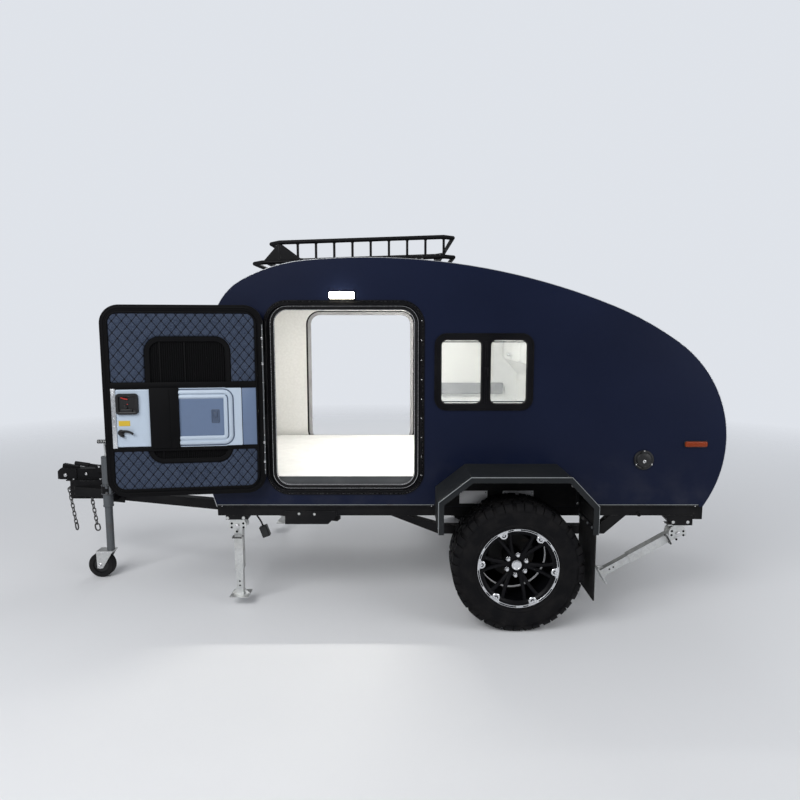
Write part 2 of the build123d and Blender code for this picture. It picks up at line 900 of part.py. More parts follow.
def make_coupler():
    """Ball coupler: wedge head with its cup, neck, foot plate and latch."""
    plate_high = nose_box_high + nose_plate_thick
    head_radius = abs(hitch_nose_x - coupler_head_x)
    plan = Pos(coupler_head_x, 0) * Circle(head_radius)
    plan += Pos(coupler_head_x, 0) * Rectangle(coupler_tail_x - coupler_head_x, 2 * head_radius,
                                               align=(Align.MIN, Align.CENTER))
    corners = [(hitch_nose_x, cup_z_low), (hitch_nose_x, coupler_nose_high), (coupler_head_x, coupler_high)]
    corners += [(coupler_tail_x, neck_high), (coupler_tail_x, cup_z_low)]
    side = prism(make_face(Polyline(*corners, close=True)), -head_radius, head_radius)
    head = side & extrude(plan, amount=far)
    neck = block(coupler_head_x, neck_tail_x, -neck_width / 2, neck_width / 2, plate_high, neck_high)
    plate = block(drawbar_apex_x - nose_plate_lap, neck_tail_x + nose_plate_lap, -nose_box_half,
                  nose_box_half, nose_box_high, plate_high)
    corners = [(hitch_nose_x + latch_width, coupler_nose_high), (coupler_head_x, coupler_high + latch_rise)]
    corners += [(coupler_tail_x, neck_high + latch_rise / 2), (coupler_tail_x, neck_high - 1)]
    latch = prism(make_face(Polyline(*corners, close=True)), -latch_width / 2, latch_width / 2)
    bolt_z = (cup_z_low + coupler_nose_high) / 2 + latch_bolt_radius
    bolt = disc_y(coupler_head_x + latch_width, -head_radius - latch_bolt_radius / 2,
                  head_radius + latch_bolt_radius / 2, bolt_z, latch_bolt_radius)
    cup = rod((coupler_head_x, 0, nose_box_high - 1), (coupler_head_x, 0, cup_z_low + cup_depth), ball_radius)
    crown = Pos(coupler_head_x, 0, cup_z_low + cup_depth) * Cone(
        ball_radius, ball_radius / 2, ball_radius / 2, align=(Align.CENTER, Align.CENTER, Align.MIN))
    return head + neck + plate + latch + bolt - cup - crown


def make_brake_lever():
    """Parking brake lever beside the neck."""
    y = -neck_width / 2 - lever_width
    pivot = Vector(lever_pivot[0], y, lever_pivot[1])
    tip = Vector(lever_tip[0], y, lever_tip[1])
    along = (tip - pivot).normalized()
    lever = beam(pivot, tip, lever_width, lever_height)
    grip = rod(tip - along * lever_grip_length, tip, lever_grip_radius)
    foot = block(lever_pivot[0] - lever_foot / 2, neck_tail_x, y - lever_width, -neck_width / 2,
                 neck_high - lever_height, lever_pivot[1] + lever_height / 2)
    return lever + grip + foot


def chain_link(width, gap, bar):
    """Chain link in the side view, its middle at the origin."""
    length = gap + 2 * bar
    bevel = width / 3
    w = width / 2
    h = length / 2
    corners = [(-w, bevel - h), (bevel - w, -h), (w - bevel, -h), (w, bevel - h)]
    corners += [(w, h - bevel), (w - bevel, h), (bevel - w, h), (-w, h - bevel)]
    ring = make_face(Polyline(*corners, close=True)) - Rectangle(width - 2 * bar, gap)
    return prism(ring, -bar / 2, bar / 2)


def make_safety_chain(x, y, z, length):
    """Hanging chain of links turned by quarter turns, with a shackle."""
    link = chain_link(chain_link_width, chain_link_gap, chain_link_bar)
    pitch = chain_link_gap + chain_lap
    links = int(length // pitch)
    chain = Pos(0, 0, -chain_link_gap / 2) * link
    for index in range(1, links):
        turned = Rot(0, 0, 90 * (index % 2)) * link
        chain += Pos(0, 0, -chain_link_gap / 2 - index * pitch) * turned
    shackle = chain_link(chain_shackle_width, chain_shackle_gap, chain_shackle_bar)
    shackle = Rot(0, 0, 90 * (links % 2)) * shackle
    foot = chain_link_gap / 2 + (links - 0.5) * pitch + chain_shackle_gap / 2
    chain += Pos(0, 0, -foot) * shackle
    chain = Rot(0, -chain_lean, 0) * chain
    return Pos(x, y, z) * chain


def make_safety_chains():
    """Two chains: one on a stud at the nose, one under the near drawbar member."""
    chains = []
    stud = chain_link_bar
    for x, y, z, length in chain_table:
        chain = make_safety_chain(x, y, z, length)
        if x > drawbar_apex_x:
            top = rail_low - bracket_thick - drawbar_height
            chain += block(x - stud / 2, x + stud / 2, y - chain_link_width / 2, y + chain_link_width / 2,
                           z - stud, z)
            for edge in (-1, 1):
                post = y + edge * (chain_link_width - stud) / 2
                chain += block(x - stud / 2, x + stud / 2, post - stud / 2, post + stud / 2, z - stud, top)
        else:
            chain += rod((x - chain_link_bar, y, z - stud / 2), (drawbar_apex_x, y, z - stud / 2), stud / 2)
        chains.append(chain)
    return chains


def lead_points():
    """Route of the plug lead in the shared modelling frame."""
    return [Vector(x, lead_y, z) for x, z in lead_route]


def make_plug_lead():
    """Round lead of straight runs joined by tangent arcs."""
    points = lead_points()
    radii = []
    for before, corner, after in zip(points, points[1:], points[2:]):
        turn = radians((corner - before).get_angle(after - corner))
        run = min((corner - before).length, (after - corner).length)
        radii.append(0.45 * run / tan(turn / 2))
    path = FilletPolyline(*points, radius=radii)
    print("lead length", round(path.length, 1), "radii", [round(radius) for radius in radii])
    circle = Plane(origin=points[0], z_dir=points[1] - points[0]) * Circle(lead_diameter / 2)
    return sweep(circle, path=path)


def make_plug_fittings():
    """Gland under the cabin floor and the connector at the end of the lead."""
    points = lead_points()
    top = Vector(points[0].X, points[0].Y, body_base)
    gland = rod(points[0], top, gland_radius)
    frame = Plane(origin=points[-1], x_dir=(0, 1, 0), z_dir=points[-1] - points[-2])
    shape = RectangleRounded(connector_width, connector_width, connector_corner)
    body = extrude(shape, amount=connector_length)
    return [gland, frame * body]


def make_jack_housing():
    """Outer tube of the nose jack, its clamp with lever and the arm to the drawbar."""
    bore = jack_inner_radius + jack_clearance
    tube = rod((jack_x, jack_y, jack_outer_low), (jack_x, jack_y, jack_outer_top), jack_outer_radius)
    collar_low = jack_collar_z - jack_collar_height / 2
    collar_high = collar_low + jack_collar_height
    tube += rod((jack_x, jack_y, collar_low), (jack_x, jack_y, collar_high), jack_collar_radius)
    lever_tip = (jack_x + jack_lever_length, jack_y - jack_collar_radius, jack_collar_z)
    tube += rod((jack_x, jack_y, jack_collar_z), lever_tip, jack_lever_radius)
    bore_top = jack_outer_top - jack_collar_radius / 2
    tube -= rod((jack_x, jack_y, jack_outer_low - 1), (jack_x, jack_y, bore_top), bore)
    slope = (drawbar_tail_y - drawbar_nose_half) / (drawbar_tail_x - drawbar_apex_x)
    member_y = -(drawbar_nose_half + slope * (jack_x - drawbar_apex_x)) - drawbar_width / 2
    arm_z = rail_low - bracket_thick - drawbar_height / 2
    arm_y = jack_y + jack_outer_radius - jack_arm_lap
    arm = block(jack_x - jack_arm_width / 2, jack_x + jack_arm_width / 2, arm_y, member_y - 2,
                arm_z - jack_arm_height / 2, arm_z + jack_arm_height / 2)
    arm += block(jack_x - jack_arm_width / 4, jack_x + jack_arm_width / 4, arm_y, member_y - 2,
                 arm_z, jack_collar_z)
    reach = jack_pad_length / 2
    gap = jack_pad_thick / 2 - 1
    pad = beam((jack_x - reach, member_y - gap + slope * reach, arm_z),
               (jack_x + reach, member_y - gap - slope * reach, arm_z), jack_pad_thick, jack_pad_height)
    near_member = make_drawbar()[0]
    inside = jack_outer_radius - 1
    bore_space = rod((jack_x, jack_y, jack_outer_low), (jack_x, jack_y, jack_outer_top), inside)
    return tube + (arm + pad - near_member - bore_space)


def make_jack_crank():
    """Folding crank on top of the jack."""
    top = jack_outer_top + 2 * crank_stem_radius
    grip_z = crank_top - crank_grip_radius
    grip_x = jack_x - crank_lean
    stem = rod((jack_x, jack_y, jack_outer_top), (jack_x, jack_y, top), crank_stem_radius)
    arm = rod((jack_x, jack_y, top - crank_rod_radius), (grip_x, jack_y, grip_z), crank_rod_radius)
    grip = rod((grip_x - crank_grip_nose, jack_y, grip_z), (grip_x + crank_grip_tail, jack_y, grip_z),
               crank_grip_radius)
    return stem + arm + grip


def make_jack_leg():
    """Inner tube of the nose jack, which slides."""
    top = jack_outer_top - jack_head_room - jack_travel
    socket_top = jack_inner_low + swivel_length + 2
    tube = rod((jack_x, jack_y, jack_inner_low), (jack_x, jack_y, top), jack_inner_radius)
    return tube - rod((jack_x, jack_y, jack_inner_low - 1), (jack_x, jack_y, socket_top),
                      swivel_radius + swivel_gap)


def make_jockey_fork():
    """Caster fork below the jack."""
    wheel_x = jack_x - jockey_trail
    crown_z = jack_inner_low - swivel_gap
    outer = jockey_width / 2 + fork_gap + fork_plate
    x_low = wheel_x - fork_front
    x_high = jack_x + fork_back
    crown = block(x_low, x_high, jack_y - outer, jack_y + outer, crown_z - fork_top_thick, crown_z)
    inner = jockey_width / 2 + fork_gap
    foot_z = jockey_radius - 2 * jockey_axle_radius
    corners = [(x_low, crown_z), (x_high, crown_z), (wheel_x + fork_foot_half, foot_z)]
    corners.append((wheel_x - fork_foot_half, foot_z))
    cheek = make_face(Polyline(*corners, close=True))
    fork = crown + prism(cheek, jack_y - outer, jack_y - inner) + prism(cheek, jack_y + inner, jack_y + outer)
    fork += rod((jack_x, jack_y, crown_z - 1), (jack_x, jack_y, crown_z + swivel_length), swivel_radius)
    reach = outer + fork_pin_reach
    return fork + disc_y(wheel_x, jack_y - reach, jack_y + reach, jockey_radius, jockey_axle_radius)


def make_jockey_wheel():
    """Solid jockey wheel with a dished near face."""
    wheel_x = jack_x - jockey_trail
    low = jack_y - jockey_width / 2
    high = jack_y + jockey_width / 2
    tread = disc_y(wheel_x, low, high, jockey_radius, jockey_radius)
    tread = chamfer(tread.edges().filter_by(GeomType.CIRCLE), jockey_bevel)
    tread -= disc_y(wheel_x, low - 1, low + jockey_dish, jockey_radius, jockey_radius * jockey_dish_share)
    return tread - disc_y(wheel_x, low - 1, high + 1, jockey_radius, jockey_axle_radius + spindle_gap)


def ring_y(points, x, z):
    """Turned ring about the wheel axis from (radius, place across) points."""
    face = make_face(Polyline(*points, close=True))
    turned = revolve(Plane(origin=(0, 0, 0), x_dir=(1, 0, 0), z_dir=(0, 0, 1)) * face, axis=Axis.Y)
    return Pos(x, 0, z) * turned


def tyre_disc(radius, y_low, y_high):
    """Many-sided disc about the wheel axis, standing on a flat."""
    shape = RegularPolygon(radius, tyre_sides, major_radius=False, rotation=180 / tyre_sides)
    return prism(shape, y_low, y_high)


def lug_gaps():
    """Gaps between the shoulder lugs, staggered from one shoulder to the other."""
    shoulder = tyre_width / 2
    floor = tyre_radius - lug_depth
    drop = tread_bevel + lug_depth / 2
    corners = [(floor, shoulder - lug_reach), (floor, shoulder - drop)]
    corners += [(floor - tread_bevel, shoulder - lug_depth / 2), (floor - tread_bevel, shoulder + 1)]
    corners += [(tyre_radius + lug_depth, shoulder + 1), (tyre_radius + lug_depth, shoulder - lug_reach)]
    gap = extrude(make_face(Polyline(*corners, close=True)), amount=lug_gap / 2, both=True)
    pitch = 360 / lug_pairs
    gaps = []
    for index in range(lug_pairs):
        first = index * pitch + pitch / 4
        gaps.append(gap.rotate(Axis.Y, first))
        gaps.append(mirror(gap, about=Plane.XZ).rotate(Axis.Y, first + pitch / 2))
    return gaps


def end_edges(solid, y_far, radius):
    """Straight edges of a tyre's two end faces that lie within a radius."""
    found = []
    for edge in solid.edges().filter_by(GeomType.LINE):
        middle = edge.center()
        if abs(abs(middle.Y) - y_far) < 0.01 and hypot(middle.X, middle.Z) < radius:
            found.append(edge)
    return found


def make_tyre(side):
    """Many-sided tyre with bevelled shoulders and shoulder lugs; its air space counts as filled."""
    shoulder = tyre_width / 2
    seat = rim_width / 2 - bead_inset
    tyre = tyre_disc(tyre_radius, -shoulder, shoulder)
    tyre = chamfer(end_edges(tyre, shoulder, far), tread_bevel)
    recess = tyre_disc(sidewall_foot, -shoulder - 1, -seat)
    tyre -= [recess, mirror(recess, about=Plane.XZ)]
    tyre -= disc_y(0, -shoulder, shoulder, 0, rim_radius + bead_clearance)
    tyre = chamfer(end_edges(tyre, shoulder, sidewall_foot + sidewall_bevel), sidewall_bevel)
    tyre -= lug_gaps()
    return Pos(0, side * wheel_y, axle_z) * tyre


def make_rim(side):
    """Rim: barrel with its flanges, face ring with bosses, twin spokes and hub plate."""
    y = side * wheel_y
    half_rim = rim_width / 2
    flange = rim_flange_radius
    bore = rim_radius - rim_wall
    step = half_rim - rim_wall
    points = [(bore, -half_rim), (flange, -half_rim), (flange, -step), (rim_radius, -step),
              (rim_radius, step), (flange, step), (flange, half_rim), (bore, half_rim)]
    rim = ring_y([(r, y + v) for r, v in points], 0, axle_z)
    face_y = y + side * (half_rim - rim_face_inset)
    hub_y = y + side * (half_rim - rim_hub_inset)
    lip = bore - rim_ring_width
    back_y = face_y - side * rim_ring_thick
    rim += ring_y([(lip, back_y), (bore + 1, back_y), (bore + 1, face_y), (lip, face_y)], 0, axle_z)
    plate_low, plate_high = sorted((hub_y, hub_y - side * spoke_thick))
    rim += disc_y(0, plate_low, plate_high, axle_z, rim_hub_radius)
    for index in range(spoke_pairs):
        boss = direction(360.0 * index / spoke_pairs + rim_turn) * rim_boss_circle
        low, high = sorted((face_y, face_y + side * rim_boss_height))
        rim += disc_y(boss.X, low, high, axle_z + boss.Y, rim_boss_radius)
        for splay in (-spoke_splay, spoke_splay):
            angle = 360.0 * index / spoke_pairs + rim_turn + splay
            foot = direction(angle) * (rim_hub_radius - spoke_width / 2)
            tip = direction(angle) * (lip + rim_ring_width / 3)
            start = (foot.X, hub_y - side * spoke_thick / 2, axle_z + foot.Y)
            end = (tip.X, face_y - side * spoke_thick / 2, axle_z + tip.Y)
            line = Vector(end) - Vector(start)
            frame = Plane(origin=start, x_dir=line.cross(Vector(0, 1, 0)), z_dir=line)
            align = (Align.CENTER, Align.CENTER, Align.MIN)
            rim += frame * Box(spoke_width, spoke_thick, line.length, align=align)
    return rim


def make_hub(side):
    """Brake drum and hub that turn with the wheel."""
    inner_y = half + drum_gap
    low, high = sorted((side * inner_y, side * (inner_y + drum_width)))
    drum = disc_y(0, low, high, axle_z, drum_radius)
    seat = wheel_y + rim_width / 2 - rim_hub_inset - spoke_thick
    low, high = sorted((side * inner_y, side * seat))
    drum += disc_y(0, low, high, axle_z, hub_radius)
    low, high = sorted((side * (inner_y - 1), side * (inner_y + spindle_depth + spindle_play)))
    return drum - disc_y(0, low, high, axle_z, spindle_radius + spindle_gap)


def make_axle_beam():
    """Square beam across the trailer that holds the swing arms."""
    high = rail_low - subframe_drop
    return block(axle_beam_x - axle_beam / 2, axle_beam_x + axle_beam / 2, -axle_beam_half, axle_beam_half,
                 high - axle_beam, high)


def make_swing_arm():
    """Near swing arm from the beam to the wheel spindle, with its damper."""
    beam_z = rail_low - subframe_drop - axle_beam / 2
    y_low = -axle_beam_half - arm_thick
    run = Vector(-axle_beam_x, axle_z - beam_z)
    turn = Rot(0, 0, degrees(atan2(run.Y, run.X)))
    arm = Pos(axle_beam_x + run.X / 2, beam_z + run.Y / 2) * turn * SlotCenterToCenter(run.length, arm_width)
    spindle = disc_y(0, -half - drum_gap - spindle_depth, y_low, axle_z, spindle_radius)
    y = -axle_beam_half + damper_inset
    foot = Vector(damper_foot[0], y, damper_foot[1])
    head = Vector(damper_head[0], y, damper_head[1])
    middle = foot + (head - foot).normalized() * damper_body_length
    pin = disc_y(foot.X, -axle_beam_half, y, foot.Z, damper_pin_radius)
    bracket = block(head.X - damper_bracket / 2, head.X + damper_bracket / 2, y - damper_bracket / 2,
                    y + damper_bracket / 2, head.Z - damper_rod_radius, body_base - cross_member_height)
    damper = rod(foot, middle, damper_radius) + rod(middle, head, damper_rod_radius) + pin + bracket
    return prism(arm, y_low, -axle_beam_half) + spindle + damper


def guard_outline():
    """Side-view outline of the mudguard, closed at the foot."""
    first = guard_points[0]
    last = guard_points[-1]
    corners = [(first[0], guard_foot_z)] + guard_points + [(last[0], guard_foot_z)]
    return make_face(Polyline(*corners, close=True))


def open_guard(thick):
    """Mudguard outline as a bent strip that is open at the foot."""
    solid = guard_outline()
    inner = offset(solid, amount=-thick, kind=Kind.INTERSECTION)
    width = guard_points[-1][0] - guard_points[0][0] - 2 * thick
    middle = (guard_points[-1][0] + guard_points[0][0]) / 2
    foot = Pos(middle, guard_foot_z) * Rectangle(width, 4 * thick, align=(Align.CENTER, Align.CENTER))
    return solid - inner - foot


def make_mudguard():
    """Bent plate over the near wheel with a lip along its outer edge."""
    return prism(open_guard(guard_plate), -guard_outer_y, -half) + prism(
        open_guard(guard_lip), -guard_outer_y, -guard_outer_y + guard_plate)


def make_mud_flap():
    """Rubber flap behind the near wheel."""
    x_high = guard_points[-1][0] - guard_plate
    return block(x_high - flap_thick, x_high, -guard_outer_y + flap_inset, -half - flap_inset,
                 flap_foot_z, guard_foot_z + flap_lap)


def make_leg_hanger(x, foot_z, length, slant):
    """Folded steel hanger between the rail and a corner leg's bracket."""
    y_low = -rail_outer_y
    y_high = y_low + leg_hanger_depth
    x_low = x - length / 2
    x_high = x + length / 2
    corners = [(x_low, rail_low), (x_high, rail_low), (x_high, foot_z), (x_low + slant, foot_z)]
    if slant:
        corners.append((x_low, foot_z + slant))
    hanger = prism(make_face(Polyline(*corners, close=True)), y_low, y_high)
    inner = leg_hanger_plate
    return hanger - block(x_low + slant + inner, x_high - inner, y_low + inner, y_high + 1,
                          foot_z + inner, rail_low + 1)


def make_leg_bracket(x, pivot_z, foot_z):
    """Half-round ears, mounting plate and pin of a corner leg."""
    inner = leg_tube / 2 + leg_ear_gap
    outer = inner + leg_ear
    shape = Pos(x, pivot_z) * Circle(leg_ear_radius)
    shape &= Pos(x, foot_z - leg_plate_thick / 2) * Rectangle(far, far, align=(Align.CENTER, Align.MAX))
    shape &= Pos(x, pivot_z - leg_pin_radius - leg_ear) * Rectangle(far, far, align=(Align.CENTER, Align.MIN))
    bracket = prism(shape, -leg_y - outer, -leg_y - inner) + prism(shape, -leg_y + inner, -leg_y + outer)
    reach = leg_ear_radius + leg_plate_lap
    bracket += block(x - reach, x + reach, -leg_y - outer, -leg_y + outer, foot_z - leg_plate_thick, foot_z)
    pin = outer + leg_pin_head
    return bracket + disc_y(x, -leg_y - pin, -leg_y + pin, pivot_z, leg_pin_radius)


def make_leg(x, pivot_z, reach, lean):
    """Near corner leg at its resting lean: two tubes, pull handle and gusseted foot."""
    sole = pivot_z - reach
    joint = pivot_z - reach * leg_outer_share
    h = leg_tube / 2
    leg = block(x - h, x + h, -leg_y - h, -leg_y + h, joint, pivot_z)
    leg += disc_y(x, -leg_y - h, -leg_y + h, pivot_z, h)
    g = leg_inner_tube / 2
    leg += block(x - g, x + g, -leg_y - g, -leg_y + g, sole + leg_foot_thick, joint)
    f = leg_foot / 2
    leg += block(x - f, x + f, -leg_y - f, -leg_y + f, sole, sole + leg_foot_thick)
    top = sole + leg_foot_thick
    corners = [(x - g - leg_gusset, top), (x + g + leg_gusset, top), (x + g, top + leg_gusset)]
    corners.append((x - g, top + leg_gusset))
    web = leg_gusset_thick / 2
    leg += prism(make_face(Polyline(*corners, close=True)), -leg_y - web, -leg_y + web)
    bar_z = pivot_z - leg_handle_drop
    bar_y = -leg_y - h - leg_handle_reach
    b = leg_handle_bar / 2
    w = leg_handle_width / 2
    leg += block(x - w, x + w, bar_y - b, bar_y + b, bar_z - b, bar_z + b)
    for post_x in (x - w + b, x + w - b):
        leg += block(post_x - b, post_x + b, bar_y, -leg_y - h + 1, bar_z - b, bar_z + b)
    leg -= disc_y(x, -leg_y - h - 1, -leg_y + h + 1, pivot_z, leg_pin_radius + spindle_gap)
    return leg.rotate(Axis((x, -leg_y, pivot_z), (0, 1, 0)), lean)


def rack_height(x, table_x, table_z):
    """Height of a sloping rack rail at a place along the trailer."""
    share = (x - table_x[0]) / (table_x[1] - table_x[0])
    return table_z[0] + share * (table_z[1] - table_z[0])


def rack_loop(x_low, x_high, z_low, z_high):
    """Mitred tubes of one closed frame of the roof basket, with bevelled corners."""
    y = rack_half_width
    bevel = rack_corner
    rise = (z_high - z_low) / (x_high - x_low) * bevel
    points = [(x_low + bevel, -y, z_low + rise), (x_high - bevel, -y, z_high - rise)]
    points += [(x_high, bevel - y, z_high), (x_high, y - bevel, z_high)]
    points += [(x_high - bevel, y, z_high - rise), (x_low + bevel, y, z_low + rise)]
    points += [(x_low, y - bevel, z_low), (x_low, bevel - y, z_low)]
    points = [Vector(*point) for point in points]
    count = len(points)
    along = [(points[(index + 1) % count] - points[index]).normalized() for index in range(count)]
    loop = []
    for index in range(count):
        start = points[index]
        end = points[(index + 1) % count]
        run = rod(start - along[index] * rack_tube, end + along[index] * rack_tube, rack_tube)
        mitre = Plane(origin=start, z_dir=along[index - 1] + along[index])
        run = split(run, bisect_by=mitre, keep=Keep.TOP)
        mitre = Plane(origin=end, z_dir=along[index] + along[(index + 1) % count])
        loop.append(split(run, bisect_by=mitre, keep=Keep.BOTTOM))
    return loop


def make_roof_rack():
    """Roof basket: two tube frames, upright bars, slats, front fairings and feet."""
    bars = rack_loop(*rack_base_x, *rack_base_z) + rack_loop(*rack_top_x, *rack_top_z)
    length = rack_top_x[1] - rack_top_x[0] - 2 * rack_corner
    count = int(length // rack_bar_pitch)
    for index in range(count + 1):
        x = rack_top_x[0] + rack_corner + index * length / count
        low = rack_height(x, rack_base_x, rack_base_z)
        high = rack_height(x, rack_top_x, rack_top_z)
        for y in (-rack_half_width, rack_half_width):
            bars.append(block(x - rack_bar_width / 2, x + rack_bar_width / 2, y - rack_bar_thick / 2,
                              y + rack_bar_thick / 2, low, high))
    nose_x = rack_base_x[0] + rack_corner
    crown_x = rack_top_x[0] + rack_corner
    nose_z = rack_height(nose_x, rack_base_x, rack_base_z)
    crown_z = rack_height(crown_x, rack_top_x, rack_top_z)
    heel_x = nose_x + rack_fairing_length
    heel_z = rack_height(heel_x, rack_base_x, rack_base_z)
    fairing = make_face(Polyline((nose_x, nose_z), (crown_x, crown_z), (heel_x, heel_z), close=True))
    plate_y = -rack_half_width - rack_fairing_thick / 2
    bars += both_sides(prism(fairing, plate_y, plate_y + rack_fairing_thick))
    for index in range(rack_slats):
        x = rack_base_x[0] + (index + 0.5) * (rack_base_x[1] - rack_base_x[0]) / rack_slats
        z = rack_height(x, rack_base_x, rack_base_z)
        bars.append(block(x - rack_slat_width / 2, x + rack_slat_width / 2, -rack_half_width, rack_half_width,
                          z - rack_slat_thick / 2, z + rack_slat_thick / 2))
    return bars[0] + bars[1:] + rack_feet()


def roof_height(x):
    """Height of the roof skin at a place along the trailer."""
    skin = section(edge_step) & strip_x(x - 0.5, x + 0.5, body_base)
    return skin.bounding_box().max.Y


def rack_feet():
    """Feet between the roof skin and the rack's lower frame."""
    feet = []
    reach = rack_foot_width / 2
    shell = prism(section(edge_step), -rack_half_width - rack_foot_width, -rack_half_width + rack_foot_width)
    for x in rack_foot_places:
        top = rack_height(x, rack_base_x, rack_base_z)
        foot = block(x - rack_foot_length / 2, x + rack_foot_length / 2, -rack_half_width - reach,
                     -rack_half_width + reach, roof_height(x) - rack_foot_length, top)
        feet += both_sides(foot - shell)
    return feet


def build():
    """Every piece by name, as a list of solids."""
    wall_left = make_side_wall()
    pieces = {
        "side_wall_left": [wall_left],
        "side_wall_right": [mirror(wall_left, about=Plane.XZ)],
        "edge_trim": make_edge_trim(),
        "sill_trim": make_sill_trim(),
        "roof_shell": [make_roof()],
        "cabin_floor": [make_floor()],
        "bulkhead": [make_bulkhead()],
        "upper_cabinet": [make_upper_cabinet()],
        "galley_unit": [make_galley()],
        "mattress": [make_mattress()],
        "door_frames": both_sides(make_door_frame()),
        "window_frames": both_sides(make_window_frame()),
        "window_panes": [pane for near in make_window_glass() for pane in both_sides(near)],
        "porch_lamps": both_sides(make_porch_lamp()),
        "side_markers": both_sides(make_side_marker()),
        "tail_lamps": both_sides(make_tail_lamp()),
        "power_inlet": [make_power_inlet()],
        "roof_rack": [make_roof_rack()],
        "chassis_rails": make_rails(),
        "cross_members": make_cross_members(),
        "suspension_frame": make_subframe(),
        "axle_beam": [make_axle_beam()],
        "swing_arms": both_sides(make_swing_arm()),
        "drawbar": make_drawbar(),
        "drawbar_brackets": both_sides(make_drawbar_bracket()),
        "nose_box": [make_nose_box()],
        "coupler": [make_coupler()],
        "brake_lever": [make_brake_lever()],
        "safety_chains": make_safety_chains(),
        "plug_lead": [make_plug_lead()],
        "plug_fittings": make_plug_fittings(),
        "jack_housing": [make_jack_housing()],
        "jack_crank": [make_jack_crank()],
        "jack_leg": [make_jack_leg()],
        "jockey_fork": [make_jockey_fork()],
        "jockey_wheel": [make_jockey_wheel()],
        "mudguards": both_sides(make_mudguard()),
        "mud_flaps": both_sides(make_mud_flap()),
        "hatch": [make_hatch()],
        "hatch_hinge": [make_hatch_hinge()],
    }
    for name, side in (("left", -1), ("right", 1)):
        pieces["tyre_" + name] = [make_tyre(side)]
        pieces["rim_" + name] = [make_rim(side)]
        pieces["hub_" + name] = [make_hub(side)]
        pieces["door_leaf_" + name] = door_piece(make_door_leaf, side)
        pieces["door_window_" + name] = door_piece(make_door_window, side)
        pieces["door_liner_" + name] = door_piece(make_door_liner, side)
        pieces["door_band_" + name] = door_piece(make_door_band, side)
    hangers = []
    brackets = []
    for name, x, pivot_z, reach, lean, foot_z, length, slant in leg_table:
        hangers += both_sides(make_leg_hanger(x, foot_z, length, slant))
        brackets += both_sides(make_leg_bracket(x, pivot_z, foot_z))
        near, far = both_sides(make_leg(x, pivot_z, reach, lean))
        pieces["leg_" + name + "_left"] = [near]
        pieces["leg_" + name + "_right"] = [far]
    pieces["leg_hangers"] = hangers
    pieces["leg_brackets"] = brackets
    return pieces


def origin_shift():
    """Distance from the middle of the overall length to the axle."""
    tail = section(-edge_trim_thick).bounding_box().max.X
    return -(tail + hitch_nose_x) / 2


def main():
    """Build every piece and write one STEP file for each."""
    os.makedirs("parts", exist_ok=True)
    shift = Pos(origin_shift(), 0, 0)
    for name, solids in build().items():
        placed = [shift * solid for solid in solids]
        shape = placed[0] if len(placed) == 1 else Compound(children=placed)
        export_step(shape, os.path.join("parts", name + ".step"))
    print("axle is", round(origin_shift(), 3), "behind the origin")


if __name__ == "__main__":
    main()
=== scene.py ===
"""Looks of a teardrop camping trailer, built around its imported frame."""
import json
from math import copysign, cos, hypot, pi, radians, sin, sqrt, tau

import bmesh
import bpy
from mathutils import Matrix, Vector


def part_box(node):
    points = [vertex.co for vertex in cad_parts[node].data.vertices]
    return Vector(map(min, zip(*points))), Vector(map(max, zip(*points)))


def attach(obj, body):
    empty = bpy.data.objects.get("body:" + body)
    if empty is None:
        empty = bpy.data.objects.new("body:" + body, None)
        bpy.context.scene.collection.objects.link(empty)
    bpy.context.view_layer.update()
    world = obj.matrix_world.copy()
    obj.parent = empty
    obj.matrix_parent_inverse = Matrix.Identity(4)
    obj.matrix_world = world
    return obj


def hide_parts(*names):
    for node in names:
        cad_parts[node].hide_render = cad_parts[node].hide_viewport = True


bl_info = {
    "name": "Teardrop Trailer Looks",
    "version": (1, 0, 0),
    "blender": (4, 5, 0),
    "location": "3D View > Sidebar > Trailer",
    "description": "Finishes, soft parts, treads and small fittings of a teardrop camping trailer",
    "category": "Add Mesh",
}

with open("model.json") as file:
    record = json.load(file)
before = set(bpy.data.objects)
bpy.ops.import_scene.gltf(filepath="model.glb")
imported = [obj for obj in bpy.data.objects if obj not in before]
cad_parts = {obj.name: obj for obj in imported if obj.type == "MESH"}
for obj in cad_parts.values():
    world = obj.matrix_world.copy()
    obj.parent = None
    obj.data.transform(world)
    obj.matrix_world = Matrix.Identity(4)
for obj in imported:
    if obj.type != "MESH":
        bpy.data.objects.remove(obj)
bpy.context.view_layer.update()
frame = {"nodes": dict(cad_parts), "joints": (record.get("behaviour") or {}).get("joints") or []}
NODES = frame["nodes"]

# Places read from the frame
TYRE_LOW, TYRE_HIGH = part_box("tyre_left")
AXLE_X, _, TYRE_RADIUS = (TYRE_LOW + TYRE_HIGH) / 2


def row(x, y, z):
    """Point in metres from millimetres measured along X from the wheel axle."""
    return Vector((AXLE_X + x / 1000, y / 1000, z / 1000))


# Width and height of a diamond of the door quilt, and the middle that the wall's inner faces look to
QUILT_DIAMOND = (0.0505, 0.062)
CABIN_MIDDLE = row(-300.0, 0.0, 1150.0)


# Shader maths

